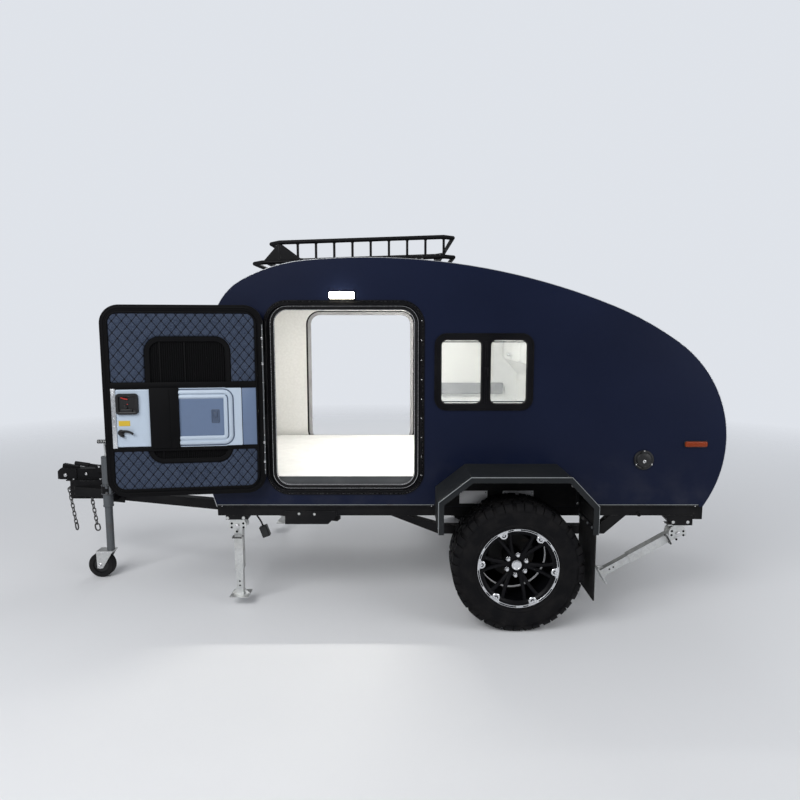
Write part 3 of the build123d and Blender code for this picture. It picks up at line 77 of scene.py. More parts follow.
class Shade:
    """A socket of a material's nodes that takes part in Python expressions."""

    def __init__(self, finish, socket):
        self.finish = finish
        self.socket = socket

    def math(self, operation, first, second=None):
        inputs = {0: first}
        if second is not None:
            inputs[1] = second
        return self.finish.add("ShaderNodeMath", {"operation": operation}, inputs)

    def __add__(self, other):
        return self.math("ADD", self, other)

    def __radd__(self, other):
        return self.math("ADD", other, self)

    def __sub__(self, other):
        return self.math("SUBTRACT", self, other)

    def __rsub__(self, other):
        return self.math("SUBTRACT", other, self)

    def __mul__(self, other):
        return self.math("MULTIPLY", self, other)

    def __rmul__(self, other):
        return self.math("MULTIPLY", other, self)

    def __truediv__(self, other):
        return self.math("DIVIDE", self, other)

    def __pow__(self, other):
        return self.math("POWER", self, other)

    def __neg__(self):
        return self.math("MULTIPLY", self, -1.0)

    def __abs__(self):
        return self.math("ABSOLUTE", self)

    def sine(self):
        return self.math("SINE", self)

    def fraction(self):
        return self.math("FRACT", self)

    def least(self, other):
        return self.math("MINIMUM", self, other)

    def most(self, other):
        return self.math("MAXIMUM", self, other)

    def ramp(self, low, high, start=0.0, end=1.0):
        """This value stretched from low..high to start..end, held at both ends."""
        return self.finish.add("ShaderNodeMapRange", {"clamp": True}, {
            "Value": self, "From Min": low, "From Max": high, "To Min": start, "To Max": end})


class Finish:
    """One material, or the world, and the nodes that make it."""

    def __init__(self, name, owner=None):
        self.material = owner or bpy.data.materials.new(name)
        self.material.use_nodes = True
        self.tree = self.material.node_tree
        self.tree.nodes.clear()

    def add(self, kind, settings=None, inputs=None, output=0):
        """A node of a type, with its settings first and then the values or links of its sockets."""
        node = self.tree.nodes.new(kind)
        for key, value in (settings or {}).items():
            setattr(node, key, value)
        for key, value in (inputs or {}).items():
            if isinstance(value, Shade):
                self.tree.links.new(value.socket, node.inputs[key])
            elif node.inputs[key].type == "RGBA":
                node.inputs[key].default_value = (*value, 1.0)
            else:
                node.inputs[key].default_value = value
        return Shade(self, node.outputs[output]) if len(node.outputs) else None

    def place(self):
        """Place on the piece, in metres."""
        return self.add("ShaderNodeTexCoord", output="Object")

    def split(self, vector):
        """The three parts of a vector or colour."""
        node = self.add("ShaderNodeSeparateXYZ", None, {0: vector}).socket.node
        return [Shade(self, output) for output in node.outputs]

    def axes(self):
        """The three coordinates of the place on the piece."""
        return self.split(self.place())

    def noise(self, scale, detail=3.0, rough=0.5, stretch=None):
        """Noise over the piece, optionally stretched along one axis."""
        where = self.place()
        if stretch:
            where = self.add("ShaderNodeMapping", None, {"Vector": where, "Scale": stretch})
        return self.add("ShaderNodeTexNoise", None, {
            "Vector": where, "Scale": scale, "Detail": detail, "Roughness": rough})

    def cells(self, scale, feature="F1", output="Distance"):
        """Distance or colour of irregular cells."""
        return self.add("ShaderNodeTexVoronoi", {"feature": feature}, {
            "Vector": self.place(), "Scale": scale}, output)

    def mix(self, amount, first, second):
        """Colour between two colours."""
        return self.add("ShaderNodeMix", {"data_type": "RGBA"}, {0: amount, 6: first, 7: second}, 2)

    def bump(self, height, strength, distance=0.001, normal=None):
        inputs = {"Height": height, "Strength": strength, "Distance": distance}
        if normal is not None:
            inputs["Normal"] = normal
        return self.add("ShaderNodeBump", None, inputs)

    def edges(self, radius):
        """Mask that is 1 on corners rounder than the flat faces beside them."""
        soft = self.add("ShaderNodeBevel", {"samples": 6}, {"Radius": radius})
        sharp = self.add("ShaderNodeNewGeometry", output="Normal")
        dot = self.add("ShaderNodeVectorMath", {"operation": "DOT_PRODUCT"}, {0: soft, 1: sharp}, "Value")
        return dot.ramp(0.97, 0.86)

    def facing(self, centre):
        """Positive on faces that point away from a centre, negative on those that point to it."""
        normal = self.add("ShaderNodeTexCoord", output="Normal")
        away = self.add("ShaderNodeVectorMath", {"operation": "SUBTRACT"}, {0: self.place(), 1: centre})
        return self.add("ShaderNodeVectorMath", {"operation": "DOT_PRODUCT"}, {0: normal, 1: away}, "Value")

    def surface(self, **inputs):
        """Finish the material with one main shader."""
        named = {key.replace("_", " "): value for key, value in inputs.items()}
        shader = self.add("ShaderNodeBsdfPrincipled", None, named)
        self.add("ShaderNodeOutputMaterial", None, {"Surface": shader})
        return self.material

    def blend(self, amount, first, second):
        """Finish the material with a mix of two shaders."""
        shader = self.add("ShaderNodeMixShader", None, {0: amount, 1: first, 2: second})
        self.add("ShaderNodeOutputMaterial", None, {"Surface": shader})
        return self.material


def shifted(colour, factor, lift=0.0):
    """Colour made darker or lighter by a factor and a lift."""
    return tuple(channel * factor + lift for channel in colour)


# Finishes

def wall_paint(name, colour, lined):
    """Satin panel paint with faint clouding and road dust near its foot, white on a lined inner face."""
    f = Finish(name)
    height = f.axes()[2]
    cloud = f.noise(1.6, 4.0)
    fine = f.noise(60.0, 3.0)
    dust = height.ramp(0.95, 0.58) * f.noise(9.0, 5.0).ramp(0.45, 0.75)
    lighter = shifted(colour, 1.5, 0.002)
    base = f.mix(cloud.ramp(0.3, 0.7, 0.0, 0.45), colour, lighter)
    base = f.mix(dust * 0.18, base, (0.07, 0.07, 0.08))
    if lined:
        lining = f.mix(fine.ramp(0.3, 0.7), (0.8, 0.8, 0.79), (0.74, 0.74, 0.73))
        base = f.mix(f.facing(CABIN_MIDDLE).ramp(0.0, -0.02), base, lining)
    rough = fine.ramp(0.3, 0.7, 0.3, 0.4) + dust * 0.2
    return f.surface(Base_Color=base, Roughness=rough, Specular_IOR_Level=0.12, Coat_Weight=0.03,
                     Coat_Roughness=0.18, Normal=f.bump(f.noise(420.0, 2.0), 0.05, 0.0006))


def powder_coat(name, colour, rough=0.42, worn=0.0):
    """Powder coat with fine grain, patchy sheen and lighter corners."""
    f = Finish(name)
    grain = f.noise(900.0, 2.0)
    cloud = f.noise(7.0, 5.0)
    base = f.mix(cloud.ramp(0.35, 0.75, 0.0, 0.5), colour, shifted(colour, 1.6, 0.003))
    if worn:
        mask = f.edges(0.0025) * f.noise(38.0, 4.0).ramp(0.48, 0.62) * worn
        base = f.mix(mask, base, (0.16, 0.16, 0.17))
    return f.surface(Base_Color=base, Roughness=cloud.ramp(0.3, 0.7, rough - 0.06, rough + 0.1),
                     Specular_IOR_Level=0.1, Normal=f.bump(grain, 0.12, 0.0004))


def road_steel(name, colour):
    """Chassis paint with dust that gathers on it and chipped corners."""
    f = Finish(name)
    height = f.axes()[2]
    cloud = f.noise(5.0, 6.0)
    speck = f.noise(75.0, 4.0)
    dust = height.ramp(0.75, 0.15, 0.25, 1.0) * cloud.ramp(0.42, 0.72)
    chips = f.edges(0.003) * speck.ramp(0.5, 0.6)
    base = f.mix(dust * 0.18, colour, (0.1, 0.095, 0.09))
    base = f.mix(chips * 0.4, base, (0.16, 0.155, 0.15))
    return f.surface(Base_Color=base, Roughness=cloud.ramp(0.3, 0.7, 0.38, 0.55), Specular_IOR_Level=0.1,
                     Normal=f.bump(f.noise(500.0, 3.0), 0.14, 0.0005))


def zinc_plate(name):
    """Galvanised steel with cell-shaped spangle and dull patches."""
    f = Finish(name)
    spangle = f.cells(95.0, output="Color")
    patch = f.noise(13.0, 5.0)
    grey = f.split(spangle)[0]
    base = f.mix(grey, (0.58, 0.59, 0.59), (0.68, 0.69, 0.68))
    base = f.mix(patch.ramp(0.5, 0.75, 0.0, 0.35), base, (0.46, 0.45, 0.42))
    rough = grey.ramp(0.0, 1.0, 0.36, 0.42) + patch.ramp(0.4, 0.7, 0.0, 0.1)
    return f.surface(Base_Color=base, Roughness=rough, Metallic=0.92, Normal=f.bump(patch, 0.1, 0.0006))


def bright_metal(name, colour, rough, stretch=(1.0, 1.0, 1.0)):
    """Bright strip, plated or machined metal with fine drawn lines."""
    f = Finish(name)
    lines = f.noise(240.0, 3.0, 0.6, stretch)
    smudge = f.noise(22.0, 4.0)
    base = f.mix(smudge.ramp(0.45, 0.75, 0.0, 0.35), colour, shifted(colour, 0.72))
    return f.surface(Base_Color=base, Metallic=1.0,
                     Roughness=lines.ramp(0.3, 0.7, rough * 0.75, rough * 1.35),
                     Normal=f.bump(lines, 0.05, 0.0003))


def cabin_board(name):
    """White faced cabin board with faint grain and yellowed scuff patches."""
    f = Finish(name)
    grain = f.noise(34.0, 4.0, 0.6, (0.25, 1.0, 4.0))
    scuff = f.noise(6.0, 6.0).ramp(0.62, 0.8)
    base = f.mix(grain.ramp(0.3, 0.7, 0.0, 0.6), (0.8, 0.79, 0.765), (0.76, 0.75, 0.73))
    base = f.mix(scuff * 0.25, base, (0.62, 0.6, 0.56))
    return f.surface(Base_Color=base, Roughness=grain.ramp(0.3, 0.7, 0.34, 0.46),
                     Normal=f.bump(grain, 0.04, 0.0005))


def moulded(name, colour, rough=0.42, grain=520.0):
    """Moulded plastic with a fine pebbled grain and slight handling marks."""
    f = Finish(name)
    pebble = f.cells(grain)
    mark = f.noise(16.0, 5.0)
    base = f.mix(mark.ramp(0.5, 0.8, 0.0, 0.35), colour, shifted(colour, 0.8, 0.012))
    return f.surface(Base_Color=base, Roughness=mark.ramp(0.3, 0.7, rough - 0.05, rough + 0.1),
                     Normal=f.bump(pebble, 0.1, 0.0003))


def woven_cover(name):
    """White knitted mattress cover with a fine weave and faint creases."""
    f = Finish(name)
    x, y = f.axes()[:2]
    weave = (x * 5200.0).sine() * (y * 5200.0).sine()
    crease = f.noise(11.0, 6.0)
    base = f.mix(crease.ramp(0.35, 0.7, 0.0, 0.6), (0.8, 0.8, 0.79), (0.7, 0.7, 0.7))
    return f.surface(Base_Color=base, Roughness=0.86, Sheen_Weight=0.25,
                     Normal=f.bump(weave * 0.4 + crease, 0.22, 0.0012))


def quilt_cloth(name):
    """Grey-blue quilted cloth with dark stitch lines along its diamonds and knots where they cross."""
    f = Finish(name)
    u, v = f.split(f.add("ShaderNodeUVMap", {"uv_map": "quilt"}))[:2]
    across, along = u / QUILT_DIAMOND[0], v / QUILT_DIAMOND[1]
    first = abs((across + along + 0.5).fraction() - 0.5)
    second = abs((across - along + 0.5).fraction() - 0.5)
    line = first.least(second).ramp(0.06, 0.028)
    knot = (first + second).ramp(0.2, 0.14)
    stitch = line.most(knot)
    fibre = f.noise(260.0, 4.0)
    tint = f.noise(9.0, 4.0)
    cloth = f.mix(tint.ramp(0.3, 0.7), (0.016, 0.025, 0.048), (0.028, 0.04, 0.07))
    cloth = f.mix(fibre.ramp(0.42, 0.66, 0.0, 0.75), cloth, (0.072, 0.092, 0.14))
    base = f.mix(stitch, cloth, (0.002, 0.002, 0.004))
    return f.surface(Base_Color=base, Roughness=0.8, Specular_IOR_Level=0.15, Sheen_Weight=0.08,
                     Normal=f.bump(fibre - stitch * 0.8, 0.35, 0.0012))


def border_cloth(name):
    """Charcoal woven border of the mattress."""
    f = Finish(name)
    fibre = f.noise(520.0, 3.0)
    slow = f.noise(7.0, 3.0)
    base = f.mix(fibre.ramp(0.3, 0.7), (0.046, 0.05, 0.054), (0.09, 0.096, 0.102))
    base = f.mix(slow.ramp(0.45, 0.8, 0.0, 0.5), base, (0.15, 0.156, 0.162))
    return f.surface(Base_Color=base, Roughness=0.78, Sheen_Weight=0.3, Normal=f.bump(fibre, 0.3, 0.001))


def screen_mesh(name):
    """Black pleated screen with a fine weave."""
    f = Finish(name)
    weave = (f.axes()[2] * 3600.0).sine() * 0.5 + 0.5
    base = f.mix(weave, (0.002, 0.002, 0.002), (0.006, 0.006, 0.007))
    return f.surface(Base_Color=base, Roughness=0.8, Specular_IOR_Level=0.08,
                     Normal=f.bump(weave, 0.2, 0.0004))


def clear_pane(name, tint, share, rough=0.03):
    """Acrylic pane: mostly clear, with a gloss face and faint haze."""
    f = Finish(name)
    haze = f.noise(5.0, 5.0)
    gloss = f.add("ShaderNodeBsdfPrincipled", None, {
        "Base Color": tint, "Roughness": haze.ramp(0.4, 0.8, rough, rough + 0.12), "IOR": 1.49})
    clear = f.add("ShaderNodeBsdfTransparent", None, {"Color": (0.93, 0.95, 0.96)})
    return f.blend(haze.ramp(0.3, 0.8, share, min(1.0, share + 0.04)), clear, gloss)


def tyre_rubber(name):
    """Tyre rubber: dusty between the lugs, finely ribbed, slightly brown."""
    f = Finish(name)
    dust = f.noise(14.0, 6.0)
    fine = f.noise(260.0, 4.0)
    base = f.mix(dust.ramp(0.42, 0.75, 0.0, 0.75), (0.005, 0.005, 0.006), (0.016, 0.015, 0.015))
    return f.surface(Base_Color=base, Roughness=dust.ramp(0.3, 0.7, 0.55, 0.78), Specular_IOR_Level=0.08,
                     Normal=f.bump(fine, 0.25, 0.0008))


def soft_rubber(name, colour):
    """Plain rubber for flaps, seals, leads and the jockey wheel."""
    f = Finish(name)
    dust = f.noise(20.0, 5.0)
    base = f.mix(dust.ramp(0.45, 0.8, 0.0, 0.4), colour, (0.04, 0.038, 0.036))
    return f.surface(Base_Color=base, Roughness=dust.ramp(0.3, 0.7, 0.55, 0.72), Specular_IOR_Level=0.08,
                     Normal=f.bump(f.noise(340.0, 3.0), 0.18, 0.0006))


def cast_metal(name, colour):
    """Cast iron or rough forging with a sandy skin."""
    f = Finish(name)
    sand = f.noise(190.0, 5.0)
    rust = f.noise(12.0, 6.0).ramp(0.56, 0.74)
    base = f.mix(rust * 0.4, colour, (0.13, 0.07, 0.04))
    return f.surface(Base_Color=base, Metallic=0.55, Roughness=sand.ramp(0.3, 0.7, 0.5, 0.7),
                     Normal=f.bump(sand, 0.35, 0.0009))


def lens(name, colour, glow, strength):
    """Ribbed lamp lens, lit from inside where it glows."""
    f = Finish(name)
    rib = (f.axes()[0] * 900.0).sine()
    patch = f.noise(30.0, 3.0)
    base = f.mix(patch.ramp(0.3, 0.8, 0.0, 0.35), colour, shifted(colour, 0.6))
    return f.surface(Base_Color=base, Roughness=patch.ramp(0.3, 0.7, 0.16, 0.28), Coat_Weight=0.1,
                     Specular_IOR_Level=0.25, Emission_Color=glow, Emission_Strength=strength,
                     Normal=f.bump(rib, 0.3, 0.0008))


# Maker of each finish and its settings
FINISH_TABLE = {
    "frame_coat": (powder_coat, (0.003, 0.003, 0.004), 0.42, 0.15),
    "deep_black": (powder_coat, (0.0015, 0.0015, 0.002), 0.6),
    "rack_coat": (powder_coat, (0.006, 0.006, 0.007), 0.42, 0.4),
    "chassis_paint": (road_steel, (0.007, 0.007, 0.008)),
    "guard_paint": (road_steel, (0.017, 0.019, 0.021)),
    # Steel given a dark colour that stands for the shade on the jack, the door hinge lines and the flap
    # bolts: painted shade
    "shade_steel": (cast_metal, (0.12, 0.13, 0.14)),
    "lamp_clear": (lens, (0.62, 0.63, 0.64), (1.0, 1.0, 1.0), 0.02),
    "hot_plate": (powder_coat, (0.012, 0.012, 0.013), 0.12),
    "trim_strip": (bright_metal, (0.7, 0.72, 0.75), 0.28, (0.2, 3.0, 0.2)),
    "zinc_plate": (zinc_plate,),
    "bright_bolt": (bright_metal, (0.66, 0.66, 0.67), 0.24),
    "machined_alloy": (bright_metal, (0.74, 0.75, 0.77), 0.2),
    "black_alloy": (powder_coat, (0.003, 0.003, 0.004), 0.36),
    "worn_zinc": (cast_metal, (0.1, 0.1, 0.1)),
    # Flat dark colour for discs that stand for holes: painted shade
    "dark_hole": (powder_coat, (0.004, 0.004, 0.004), 0.6),
    "dull_plate": (powder_coat, (0.3, 0.3, 0.31), 0.5),
    "pale_plate": (powder_coat, (0.66, 0.66, 0.67), 0.5),
    # Pale steel for thin strips that stand for highlight lines on the sill trim and the mudguard rims:
    # painted highlight
    "edge_steel": (cast_metal, (0.28, 0.3, 0.31)),
    "cabin_board": (cabin_board,),
    # White plastic given the blue-grey of its sky-lit shade: painted shade
    "white_moulding": (moulded, (0.46, 0.54, 0.64), 0.34),
    "black_moulding": (moulded, (0.004, 0.004, 0.005), 0.42),
    "grey_moulding": (moulded, (0.115, 0.165, 0.27), 0.45),
    "slate_moulding": (moulded, (0.06, 0.085, 0.14), 0.45),
    "red_moulding": (moulded, (0.5, 0.02, 0.015), 0.35),
    "woven_cover": (woven_cover,),
    "quilt_cloth": (quilt_cloth,),
    "screen_mesh": (screen_mesh,),
    "border_cloth": (border_cloth,),
    "yellow_tag": (moulded, (0.62, 0.42, 0.03), 0.4),
    "window_pane": (clear_pane, (0.7, 0.74, 0.76), 0.07),
    "tinted_pane": (clear_pane, (0.006, 0.006, 0.007), 0.94),
    "tyre_rubber": (tyre_rubber,),
    "soft_rubber": (soft_rubber, (0.014, 0.014, 0.015)),
    "drum_iron": (cast_metal, (0.03, 0.03, 0.03)),
    "lamp_amber": (lens, (0.22, 0.028, 0.003), (0.8, 0.16, 0.02), 0.02),
    "lamp_red": (lens, (0.42, 0.012, 0.012), (0.5, 0.01, 0.01), 0.08),
}
FINISHES = {}


def make_finishes(colours):
    """Every finish once, by a plain name."""
    wall = tuple(colours.wall)
    rows = {**FINISH_TABLE, "wall_paint": (wall_paint, wall, True), "door_paint": (wall_paint, wall, False),
            "cabin_glow": (lens, (0.9, 0.88, 0.8), (1.0, 0.97, 0.9), colours.cabin_glow),
            "lamp_white": (lens, (0.9, 0.88, 0.8), (1.0, 0.93, 0.74), colours.lamp_glow),}
    for name, (maker, *settings) in rows.items():
        FINISHES[name] = maker(name, *settings)


NODE_FINISHES = {
    "wall_paint": ["side_wall_left", "side_wall_right", "roof_shell", "hatch"],
    "trim_strip": ["edge_trim"],
    "cabin_board": ["cabin_floor", "bulkhead", "upper_cabinet", "galley_unit"],
    "frame_coat": ["door_frames", "window_frames", "door_leaf_left", "door_leaf_right", "hatch_hinge"],
    "window_pane": ["window_panes"],
    "tinted_pane": ["door_window_left", "door_window_right"],
    # Door bands in the white plastic with its painted blue-grey shade
    "white_moulding": ["door_band_left", "door_band_right"],
    "quilt_cloth": ["door_liner_left", "door_liner_right"],
    "woven_cover": ["mattress"],
    "lamp_white": ["porch_lamps"],
    "lamp_amber": ["side_markers"],
    "lamp_red": ["tail_lamps"],
    "black_moulding": ["power_inlet", "plug_fittings"],
    "rack_coat": ["roof_rack"],
    "chassis_paint": ["chassis_rails", "cross_members", "suspension_frame", "axle_beam", "swing_arms",
                      "drawbar", "drawbar_brackets", "nose_box", "coupler", "brake_lever", "leg_hangers",
                      "sill_trim", "jack_housing"],
    "guard_paint": ["mudguards"],
    # The jack's inner tube takes the steel darkened for painted shade
    "shade_steel": ["jack_leg"],
    "zinc_plate": ["jack_crank", "jockey_fork", "leg_brackets", "leg_front_left",
                   "leg_front_right", "leg_rear_left", "leg_rear_right"],
    "worn_zinc": ["safety_chains"],
    "soft_rubber": ["jockey_wheel", "mud_flaps", "plug_lead"],
    "tyre_rubber": ["tyre_left", "tyre_right"],
    "black_alloy": ["rim_left", "rim_right"],
    "drum_iron": ["hub_left", "hub_right"],
}


def finish_nodes():
    """Give every carried-over node its finish."""
    for finish, names in NODE_FINISHES.items():
        for name in names:
            if name in NODES:
                slots = NODES[name].data.materials
                slots.clear()
                slots.append(FINISHES[finish])


# Mesh helpers

def rounded_outline(centre, size, radius, steps=8):
    """Points of a rounded rectangle in the side view, anticlockwise."""
    half_x, half_z = size[0] / 2, size[1] / 2
    radius = max(0.0005, min(radius, half_x, half_z))
    points = []
    for corner, (sign_x, sign_z) in enumerate(((1, -1), (1, 1), (-1, 1), (-1, -1))):
        start = -pi / 2 + corner * pi / 2
        for step in range(steps + 1):
            angle = start + step * pi / 2 / steps
            points.append((centre[0] + sign_x * (half_x - radius) + radius * cos(angle),
                           centre[1] + sign_z * (half_z - radius) + radius * sin(angle)))
    return points


def pointing(place, normal):
    """Matrix that stands a form on a place with its Z axis along a normal."""
    return Matrix.Translation(Vector(place)) @ Vector(normal).to_track_quat("Z", "Y").to_matrix().to_4x4()


class Form:
    """Mesh of one piece, put together from simple solids, in metres."""

    def __init__(self):
        self.bm = bmesh.new()
        self.material = 0

    def face(self, verts):
        new = self.bm.faces.new(verts)
        new.material_index = self.material
        return new

    def skin(self, rings, closed=True, caps=True, around=False):
        """Quads between rings of points, with the end rings filled, or joined when they go around."""
        rows = [[self.bm.verts.new(point) for point in ring] for ring in rings]
        count = len(rows[0])
        made = []
        for row_a, row_b in zip(rows, rows[1:] + rows[:1] if around else rows[1:]):
            for index in range(count if closed else count - 1):
                after = (index + 1) % count
                made.append(self.face((row_a[index], row_a[after], row_b[after], row_b[index])))
        if caps and not around:
            made.append(self.face(list(reversed(rows[0]))))
            made.append(self.face(rows[-1]))
        bmesh.ops.recalc_face_normals(self.bm, faces=made)
        return made

    def block(self, low, high, bevel=0.0, steps=2):
        """Box with rounded edges."""
        low, high = Vector(low), Vector(high)
        made = bmesh.ops.create_cube(self.bm, size=1.0)["verts"]
        size = high - low
        for vert in made:
            vert.co = Vector((vert.co.x * size.x, vert.co.y * size.y, vert.co.z * size.z)) + (low + high) / 2
        faces = {face for vert in made for face in vert.link_faces}
        for face in faces:
            face.material_index = self.material
        if bevel:
            edges = list({edge for vert in made for edge in vert.link_edges})
            bmesh.ops.bevel(self.bm, geom=edges, offset=bevel, segments=steps, profile=0.5, affect="EDGES",
                            material=self.material)

    def prism(self, outline, low, high, bevel=0.0):
        """Side-view outline given thickness across the trailer, with a small chamfer at both faces."""
        rings = [(outline, low), (outline, high)]
        if bevel:
            small = shrink(outline, bevel)
            rings = [(small, low), (outline, low + bevel), (outline, high - bevel), (small, high)]
        self.skin([[(x, y, z) for x, z in points] for points, y in rings])

    def moulding(self, centre, size, radius, profile, steps=8, caps=False, around=False):
        """Rounded rectangle drawn round a profile of (inset, place across) pairs."""
        rings = []
        for inset, y in profile:
            points = rounded_outline(centre, (size[0] - 2 * inset, size[1] - 2 * inset),
                                     radius - inset, steps)
            rings.append([(x, y, z) for x, z in points])
        self.skin(rings, caps=caps, around=around)

    def lathe(self, profile, centre, axis="Y", segments=48, caps=True, start=0.0, around=False):
        """Turned solid from (radius, place along the axis) pairs, closed on itself when it goes around."""
        centre = Vector(centre)
        rings = []
        for radius, along in profile:
            ring = []
            for index in range(segments):
                angle = start + index * tau / segments
                flat = (radius * cos(angle), radius * sin(angle))
                place = {"X": (along, *flat), "Y": (flat[0], along, flat[1]), "Z": (*flat, along)}[axis]
                ring.append(centre + Vector(place))
            rings.append(ring)
        self.skin(rings, caps=caps, around=around)

    def tube(self, path, radius, sides=10, closed=False, flat=1.0):
        """Round bar along a path; flat squashes its section."""
        points = [Vector(point) for point in path]
        count = len(points)
        rings = []
        normal = None
        for index, point in enumerate(points):
            before = points[index - 1] if index or closed else point
            after = points[(index + 1) % count] if index < count - 1 or closed else point
            along = (after - before).normalized()
            if normal is None:
                normal = along.orthogonal().normalized()
            normal = (normal - along * normal.dot(along)).normalized()
            side = along.cross(normal)
            turns = [k * tau / sides for k in range(sides)]
            rings.append([point + (normal * cos(turn) + side * flat * sin(turn)) * radius for turn in turns])
        self.skin(rings, around=closed)

    def part(self):
        """Empty form of the same material, to be moved and then joined."""
        part = Form()
        part.material = self.material
        return part

    def bolt(self, place, normal, across=0.017, height=0.008, washer=1.55):
        """Hexagon head on a washer, pointing along a normal."""
        thick = height * 0.22
        part = self.part()
        part.lathe([(across * washer / 2, 0.0), (across * washer / 2, thick)], ORIGIN, "Z", 18)
        head = across / 2 / cos(pi / 6)
        part.lathe([(head, thick), (head, height * 0.85), (head * 0.84, height)], ORIGIN, "Z", 6)
        self.join(part.move(pointing(place, normal)))

    def screw(self, place, normal, radius=0.005):
        """Low round screw head with a dimple, pointing along a normal."""
        part = self.part()
        part.lathe([(radius, 0.0), (radius * 0.9, radius * 0.25), (radius * 0.5, radius * 0.45),
                    (radius * 0.3, radius * 0.3)], ORIGIN, "Z", 14)
        self.join(part.move(pointing(place, normal)))

    def move(self, matrix):
        """Move every point; faces keep looking outwards when the matrix mirrors."""
        bmesh.ops.transform(self.bm, matrix=matrix, verts=self.bm.verts[:])
        if matrix.to_3x3().determinant() < 0:
            bmesh.ops.reverse_faces(self.bm, faces=self.bm.faces[:])
        return self

    def join(self, other):
        """Take over another form's mesh."""
        mesh = bpy.data.meshes.new("joining")
        other.bm.to_mesh(mesh)
        other.bm.free()
        self.bm.from_mesh(mesh)
        bpy.data.meshes.remove(mesh)

    def place(self, name, finish, body, slot, smooth=35.0):
        """Object of this form that rides on a body."""
        mesh = bpy.data.meshes.new(name)
        self.bm.normal_update()
        self.bm.to_mesh(mesh)
        self.bm.free()
        obj = bpy.data.objects.new(name, mesh)
        bpy.context.scene.collection.objects.link(obj)
        for entry in [finish] if isinstance(finish, str) else finish:
            mesh.materials.append(FINISHES[entry])
        mesh.shade_smooth()
        mesh.set_sharp_from_angle(angle=radians(smooth))
        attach(obj, body)
        return obj


def polar(radius, angle, y):
    """Place at a radius and an angle in the side view, y across the trailer."""
    return Vector((radius * cos(angle), y, radius * sin(angle)))


def shrink(outline, inset):
    """Outline with every point moved inwards along the mean of its two edges."""
    count = len(outline)
    points = []
    for index in range(count):
        here = Vector(outline[index])
        ahead = (Vector(outline[(index + 1) % count]) - here).normalized()
        behind = (here - Vector(outline[index - 1])).normalized()
        inward = Vector((-ahead.y - behind.y, ahead.x + behind.x))
        length = max(inward.length, 1e-6)
        points.append(tuple(here + inward * (2 * inset / length ** 2)))
    return points


# Direction out of the near side, the origin, and the place just outside the near wall
OUT = (0, -1, 0)
ORIGIN = (0, 0, 0)
SKIN = -0.7502
# Near to far side
MIRROR = Matrix.Scale(-1.0, 4, (0, 1, 0))
JOINTS = {joint["name"]: joint for joint in frame["joints"]}
SIDES = {"left": -1, "right": 1}


def drawn(draw):
    """New form with what a function draws on it."""
    form = Form()
    draw(form)
    return form


# Matrix for pieces drawn from the axle
AXLE = Matrix.Translation(row(0, 0, 0))


def near(draw, finish, slot, body="trailer", smooth=35.0, name=None):
    """Near piece drawn from the axle and its mirror image, named after the function or as told."""
    for side, sign in SIDES.items():
        form = drawn(draw).move(AXLE)
        if sign > 0:
            form.move(MIRROR)
        form.place((name or draw.__name__) + "_" + side, finish, body.format(side=side), slot, smooth)


def alone(draw, finish, slot, body="trailer", smooth=35.0, name=None):
    """One piece drawn from the axle, named after the function or as told."""
    return drawn(draw).move(AXLE).place(name or draw.__name__, finish, body, slot, smooth)


def pair(draw):
    """Drawing of a near piece and its mirror image in one form."""
    def draw_pair(form):
        draw(form)
        form.join(drawn(draw).move(MIRROR))
    return draw_pair


# Length of one ripple of a weld bead
BEAD_STEP = 0.0035


def bead(form, start, end, radius=0.0035):
    """Weld bead of overlapping ripples from one point to another."""
    start, end = Vector(start), Vector(end)
    length = (end - start).length
    count = max(3, int(length / BEAD_STEP))
    points = [start.lerp(end, index / count) for index in range(count + 1)]
    form.tube(points, radius, 6)


# Doors

LEAF_SIZE = (0.85, 1.048)
LEAF_MIDDLE = (LEAF_SIZE[0] / 2, LEAF_SIZE[1] / 2)
LEAF_THICK = 0.028
LEAF_FACE = -LEAF_THICK - 0.0022
LEAF_CORNER = 0.103
DOOR_WINDOW = ((0.385, 0.53), (0.468, 0.685), 0.07)
CASSETTE = ((0.402, 0.53), (0.45, 0.694), 0.082)
BAND = (0.268, 0.606)
PAD_LIMITS = ((0.042, 0.04, 0.808, 0.265), (0.042, 0.627, 0.808, 1.004))
PAD_CORNER = 0.062
PAD_THICK = 0.0115
LOCKER_EDGE = 0.455
LOCKER_SPAN = (0.1225, 0.56)
LOCKER_HEIGHT = 0.32
LOCKER_V = 0.437
LOCKER_SHIFT = 0.02
LOCKER_STEPS = 0.112
HINGE_TO_LEAF = (0.011, 0.035)
SCREEN_EDGE = 0.02
# How far the lock's parts and the sliding cover stand into the cabin
LOCK_FACE = 0.0225


def door_matrix(side):
    """From a door's own places (from hinge edge, into the cabin, from its foot) to where it stands."""
    joint = JOINTS["door_" + side + "_swing"]
    pin = Vector(JOINTS["door_left_swing"]["pos_m"])
    corner = Vector((HINGE_TO_LEAF[0], HINGE_TO_LEAF[1], -LEAF_SIZE[1] / 2))
    opened = Matrix.Rotation(-radians(joint["range_deg"][1]), 4, "Z")
    matrix = Matrix.Translation(pin) @ opened @ Matrix.Translation(corner)
    return MIRROR @ matrix if side == "right" else matrix


def door_pieces(draw, finish, slot, smooth=35.0):
    """The same piece on both doors, drawn on the door's own inner face and named after its function."""
    return [drawn(draw).move(door_matrix(side)).place(
        draw.__name__ + "_" + side, finish, "door_" + side, slot, smooth) for side in SIDES]


def rounded_distance(point, centre, size, radius):
    """Distance to a rounded rectangle's edge, negative inside."""
    x = abs(point[0] - centre[0]) - size[0] / 2 + radius
    z = abs(point[1] - centre[1]) - size[1] / 2 + radius
    return hypot(max(x, 0.0), max(z, 0.0)) + min(max(x, z), 0.0) - radius


